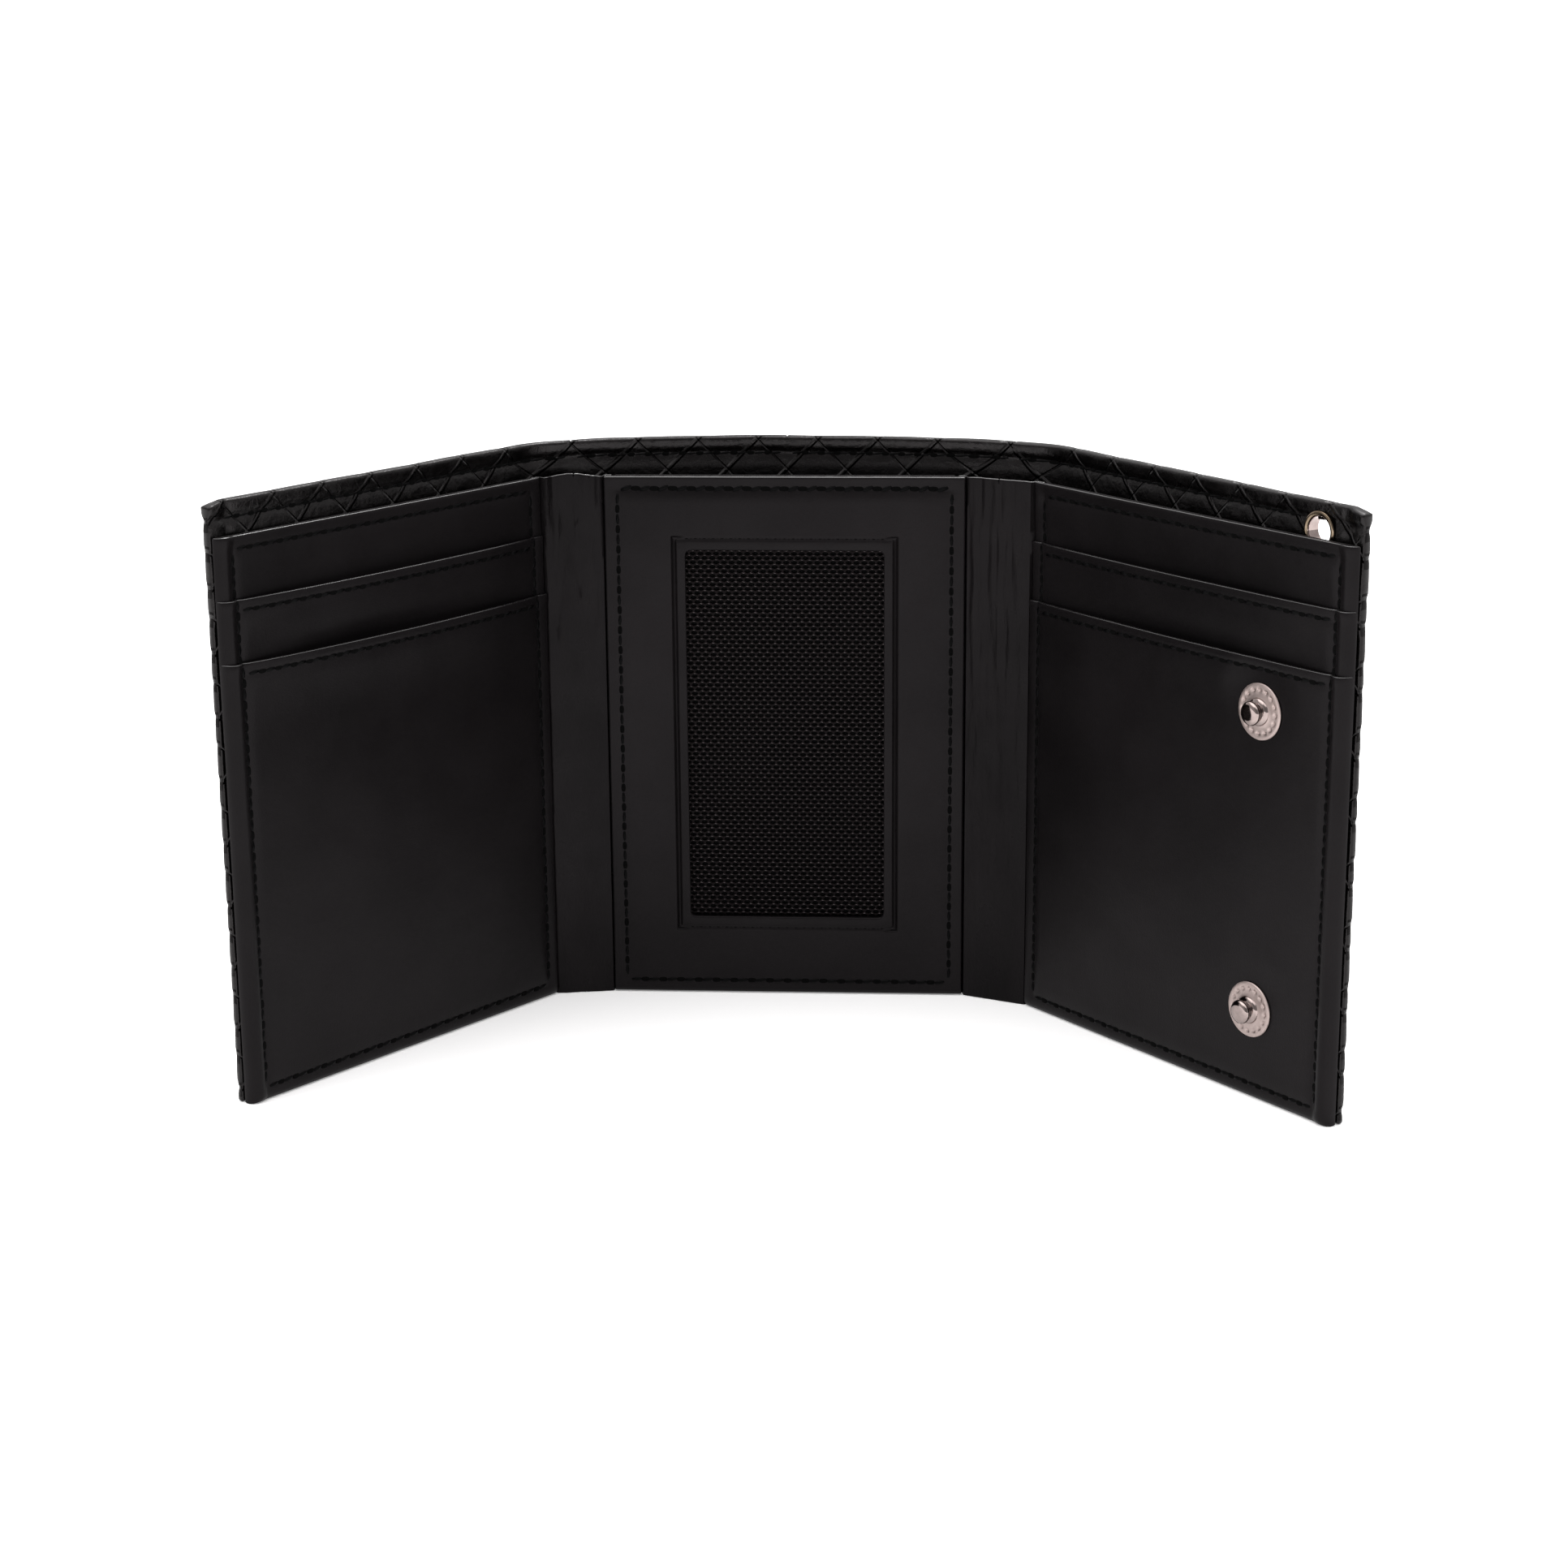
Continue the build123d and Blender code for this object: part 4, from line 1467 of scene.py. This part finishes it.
def turned_piece(name, profile, segments):
    """A closed turned form: its profile is radius and height, from the axis round to the axis."""
    bpy.ops.object.select_all(action="DESELECT")
    radius, height = profile[0]
    bpy.ops.mesh.primitive_circle_add(
        vertices=segments, radius=max(radius, 0.01), location=(0, 0, height), fill_type="NOTHING"
    )
    obj = bpy.context.active_object
    obj.name = obj.data.name = name
    bpy.ops.object.transform_apply(location=True, rotation=True, scale=True)
    bpy.ops.object.mode_set(mode="EDIT")
    bpy.ops.mesh.select_all(action="SELECT")
    if radius < 0.02:
        bpy.ops.mesh.edge_face_add()
    last = max(radius, 0.01)
    for radius, next_height in profile[1:]:
        bpy.ops.mesh.extrude_region_move(
            TRANSFORM_OT_translate={"value": (0, 0, next_height - height)}
        )
        radius = max(radius, 0.01)
        bpy.ops.transform.resize(
            value=(radius / last, radius / last, 1), center_override=(0, 0, next_height)
        )
        last, height = radius, next_height
    bpy.ops.mesh.select_all(action="SELECT")
    bpy.ops.mesh.remove_doubles(threshold=0.0005)
    bpy.ops.mesh.normals_make_consistent(inside=False)
    bpy.ops.object.mode_set(mode="OBJECT")
    return obj


def fasten(obj, section, s, depth, z, forward=1):
    """Sets a turned piece on a section: its axis points out of the front, or of the back."""
    along, back = directions(section)
    axis = -back * forward
    across = along * forward
    centre = place(section, s, depth, z)
    for vertex in obj.data.vertices:
        x, y, h = vertex.co
        vertex.co = centre + (across * x + Vector((0, 0, 1)) * y + axis * h) * MM
    only(obj)
    bpy.ops.object.shade_smooth_by_angle(angle=radians(35))
    dress(obj, "nickel")
    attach(obj, section)


def build_stud(name):
    s, _, z = SNAPS[f"stud_{name}"]
    profile = [
        (0, -0.1), (1.5, -0.1), (3.6, 0.02), (4.75, 0.0), (5.0, 0.12), (5.02, 0.26), (4.92, 0.4),
        (4.75, 0.46), (4.5, 0.47), (4.3, 0.47), (4.15, 0.47), (4.02, 0.47), (3.9, 0.47),
        (3.78, 0.47), (3.65, 0.47), (3.5, 0.47), (3.2, 0.48), (2.8, 0.52), (2.5, 0.62),
        (2.42, 0.82), (2.3, 1.0),
        (2.0, 1.14), (1.72, 1.3), (1.64, 1.55), (1.72, 1.8), (1.98, 2.0), (2.14, 2.25),
        (2.12, 2.56), (1.94, 2.82), (1.6, 3.0), (1.15, 3.08), (0.6, 3.1), (0, 3.1),
    ]
    obj = turned_piece(f"snap_stud_{name}_metal", profile, 96)
    count = sizes().dimples
    for vertex in obj.data.vertices:
        x, y, h = vertex.co
        r = hypot(x, y)
        if 3.3 < r < 4.6 and h > 0.3:
            turn = atan2(y, x) / (2 * pi) * count
            away = (turn - round(turn)) * 2 * pi / count * r
            pit = hypot(away, r - 3.9)
            vertex.co.z = h - 0.36 * exp(-((pit / 0.3) ** 2)) + 0.04 * bump(pit - 0.42, 0.14)
    posts = [hypot(*face.center.xy) < 2.6 and face.center.z > 0.5 for face in obj.data.polygons]
    fasten(obj, "right_panel", s, -0.02, z)
    dress(obj, "nickel", "satin_nickel")
    for face, post in zip(obj.data.polygons, posts):
        face.material_index = 0 if post else 1
    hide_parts(f"snap_stud_{name}")


def build_socket(name):
    node = f"snap_socket_{name}"
    (a, b), (front, back), _ = span(node, "left_panel")
    s, _, z = SNAPS[f"socket_{name}"]
    height = back - front
    radius = (b - a) / 2
    profile = [
        (2.95, -height + 0.05), (3.15, -height), (3.15, -0.95), (3.4, -0.62), (4.2, -0.56),
        (radius - 0.2, -0.6), (radius, -0.42), (radius, -0.25), (radius - 0.25, -0.08),
        (radius - 0.6, -0.08), (radius - 0.9, -0.22), (4.4, -0.26), (3.9, -0.12), (3.5, 0.0),
        (3.1, 0.0), (2.85, -0.14), (2.75, -0.4), (2.75, -height + 0.25), (2.95, -height + 0.05),
    ]
    obj = turned_piece(f"{node}_metal", profile, 72)
    fasten(obj, "left_panel", s, back, z, forward=-1)
    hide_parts(node)


def build_eyelet():
    (a, b), (front, back), _ = EYELET
    radius = (b - a) / 2
    depth = back - front
    bore = frame["record"]["mounts"][1]["dims"]["r_mm"]
    ring = [
        (bore, -depth), (bore + 0.3, -depth), (bore + 0.3, -0.5), (radius - 0.1, -0.42),
        (radius, -0.3), (radius - 0.04, -0.14), (radius - 0.18, -0.03), (radius - 0.36, 0.0),
        (bore + 0.3, -0.04), (bore + 0.1, -0.18), (bore, -0.45), (bore, -1.2), (bore, -depth),
    ]
    obj = turned_piece("chain_eyelet_metal", ring, 72)
    rims = [hypot(*face.center.xy) > bore + 0.12 for face in obj.data.polygons]
    fasten(obj, "right_panel", EYELET_S, front, EYELET_Z)
    dress(obj, "nickel", "brassy_shaded_nickel")
    for face, rim in zip(obj.data.polygons, rims):
        face.material_index = int(rim)
    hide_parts("chain_eyelet")


# ---------------------------------------------------------------------------------------------
# Studio


def build_camera():
    yaw, pitch, roll = -0.0609, 0.2726, -0.0078
    forward = Vector((sin(yaw) * cos(pitch), cos(yaw) * cos(pitch), -sin(pitch)))
    right = Vector((cos(yaw), -sin(yaw), 0))
    up = right.cross(forward)
    level_right = right * cos(roll) + up * sin(roll)
    level_up = up * cos(roll) - right * sin(roll)
    data = bpy.data.cameras.new("camera")
    data.sensor_width = 36
    data.lens = 3774.7 / 1932 * 36
    data.clip_end = 100
    camera = bpy.data.objects.new("camera", data)
    bpy.context.scene.collection.objects.link(camera)
    matrix = Matrix((level_right, level_up, -forward)).transposed().to_4x4()
    matrix.translation = Vector((0.03403, -0.5647, 0.20067))
    camera.matrix_world = matrix
    bpy.context.scene.camera = camera


def build_light(name, strength, angle, toward):
    data = bpy.data.lights.new(name, "SUN")
    data.energy = strength
    data.angle = radians(angle)
    lamp = bpy.data.objects.new(name, data)
    bpy.context.scene.collection.objects.link(lamp)
    lamp.rotation_euler = Vector(toward).to_track_quat("-Z", "Y").to_euler()


def build_studio():
    bpy.ops.object.select_all(action="DESELECT")
    bpy.ops.mesh.primitive_plane_add(size=60, location=(0, 0, 0))
    ground = bpy.context.active_object
    ground.name = ground.data.name = "floor"
    ground.data.transform(Matrix.Translation((0, 0, -0.00005)))
    ground.data.materials.append(FINISHES["floor"])
    build_light("high_back", 1.3, 14, (-0.2, -0.62, -1.0))
    build_light("high_left", 0.7, 45, (0.7, 0.3, -1.0))
    world = bpy.data.worlds.new("studio")
    world.use_nodes = True
    tree = world.node_tree
    where = tree.nodes.new("ShaderNodeTexCoord")
    parts = tree.nodes.new("ShaderNodeSeparateXYZ")
    tree.links.new(where.outputs["Generated"], parts.inputs[0])
    glow = None
    # A pale room with a large soft box above, one behind, and one on each side
    for axis, low, high, amount in (
        (2, 0.55, 0.85, 2.2), (1, 0.1, 0.8, 0.5), (0, 0.35, 0.8, 0.5), (0, -0.4, -0.85, 0.35)
    ):
        box = tree.nodes.new("ShaderNodeMapRange")
        box.interpolation_type = "SMOOTHSTEP"
        box.inputs["From Min"].default_value = low
        box.inputs["From Max"].default_value = high
        box.inputs["To Max"].default_value = amount
        tree.links.new(parts.outputs[axis], box.inputs["Value"])
        total = tree.nodes.new("ShaderNodeMath")
        total.inputs[1].default_value = 0.36
        tree.links.new(box.outputs["Result"], total.inputs[0])
        if glow:
            tree.links.new(glow, total.inputs[1])
        glow = total.outputs[0]
    tree.nodes["Background"].inputs["Color"].default_value = (1, 0.985, 0.985, 1)
    tree.links.new(glow, tree.nodes["Background"].inputs["Strength"])
    bpy.context.scene.world = world
    bpy.context.scene.view_settings.view_transform = "Standard"
    build_camera()


# ---------------------------------------------------------------------------------------------
# Operators


class WALLET_OT_finishes(bpy.types.Operator):
    """Make the leathers, cloth, net, thread and metal."""

    bl_idname = "wallet.finishes"
    bl_label = "Finishes"

    def execute(self, context):
        make_finishes()
        for node, obj in frame["nodes"].items():
            if node.startswith(("snap", "chain")):
                dress(obj, "nickel")
        return {"FINISHED"}


class WALLET_OT_window_panel(bpy.types.Operator):
    """Build the middle panel with its window, net and backing."""

    bl_idname = "wallet.window_panel"
    bl_label = "Window panel"

    def execute(self, context):
        build_window_panel()
        build_backing()
        build_net()
        return {"FINISHED"}


class WALLET_OT_card_pockets(bpy.types.Operator):
    """Build the three card pockets of each side panel."""

    bl_idname = "wallet.card_pockets"
    bl_label = "Card pockets"

    def execute(self, context):
        for side in ("left", "right"):
            for number in (1, 2, 3):
                build_pocket(side, number)
        return {"FINISHED"}


class WALLET_OT_dividers(bpy.types.Operator):
    """Build the leather behind the pockets and the two strips between the panels."""

    bl_idname = "wallet.dividers"
    bl_label = "Dividers and strips"

    def execute(self, context):
        for section in ("center", "left_panel", "right_panel"):
            build_divider(section)
        for side in ("left", "right"):
            for part in ("inner", "outer"):
                build_strip(side, part)
        return {"FINISHED"}


class WALLET_OT_cover(bpy.types.Operator):
    """Build the woven cover and its lining."""

    bl_idname = "wallet.cover"
    bl_label = "Cover"

    def execute(self, context):
        for name in COVER_PIECES:
            build_cover(name)
            build_lining(name)
        return {"FINISHED"}


class WALLET_OT_seams(bpy.types.Operator):
    """Sew all the seams."""

    bl_idname = "wallet.seams"
    bl_label = "Seams"

    def execute(self, context):
        for section in ("center", "left_panel", "right_panel"):
            sew_panel(section)
        for name in COVER_PIECES:
            sew_cover(name, True)
            sew_cover(name, False)
        return {"FINISHED"}


class WALLET_OT_metal(bpy.types.Operator):
    """Set the snaps and the chain eyelet."""

    bl_idname = "wallet.metal"
    bl_label = "Snaps and eyelet"

    def execute(self, context):
        for name in ("upper", "lower"):
            build_stud(name)
            build_socket(name)
        build_eyelet()
        return {"FINISHED"}


class WALLET_OT_studio(bpy.types.Operator):
    """Set up the floor, the lights and the camera."""

    bl_idname = "wallet.studio"
    bl_label = "Studio"

    def execute(self, context):
        build_studio()
        return {"FINISHED"}


class WALLET_PT_panel(bpy.types.Panel):
    """Lists the wallet's sizes, colours and steps."""

    bl_idname = "WALLET_PT_panel"
    bl_label = "Trifold wallet"
    bl_space_type = "VIEW_3D"
    bl_region_type = "UI"
    bl_category = "Wallet"

    def draw(self, context):
        for group in (context.scene.wallet_sizes, context.scene.wallet_colours):
            for name in group.__annotations__:
                self.layout.prop(group, name)
        for step in STEPS:
            self.layout.operator(step.bl_idname)


STEPS = (
    WALLET_OT_finishes,
    WALLET_OT_studio,
    WALLET_OT_window_panel,
    WALLET_OT_card_pockets,
    WALLET_OT_dividers,
    WALLET_OT_cover,
    WALLET_OT_seams,
    WALLET_OT_metal,
)
CLASSES = (WalletSizes, WalletColours, *STEPS, WALLET_PT_panel)


def register():
    for made in CLASSES:
        bpy.utils.register_class(made)
    bpy.types.Scene.wallet_sizes = PointerProperty(type=WalletSizes)
    bpy.types.Scene.wallet_colours = PointerProperty(type=WalletColours)


def unregister():
    del bpy.types.Scene.wallet_colours
    del bpy.types.Scene.wallet_sizes
    for made in reversed(CLASSES):
        bpy.utils.unregister_class(made)


def main():
    register()
    bpy.ops.wallet.finishes()
    bpy.ops.wallet.studio()
    bpy.ops.wallet.window_panel()
    bpy.ops.wallet.card_pockets()
    bpy.ops.wallet.dividers()
    bpy.ops.wallet.cover()
    bpy.ops.wallet.seams()
    bpy.ops.wallet.metal()


if __name__ == "__main__":
    main()
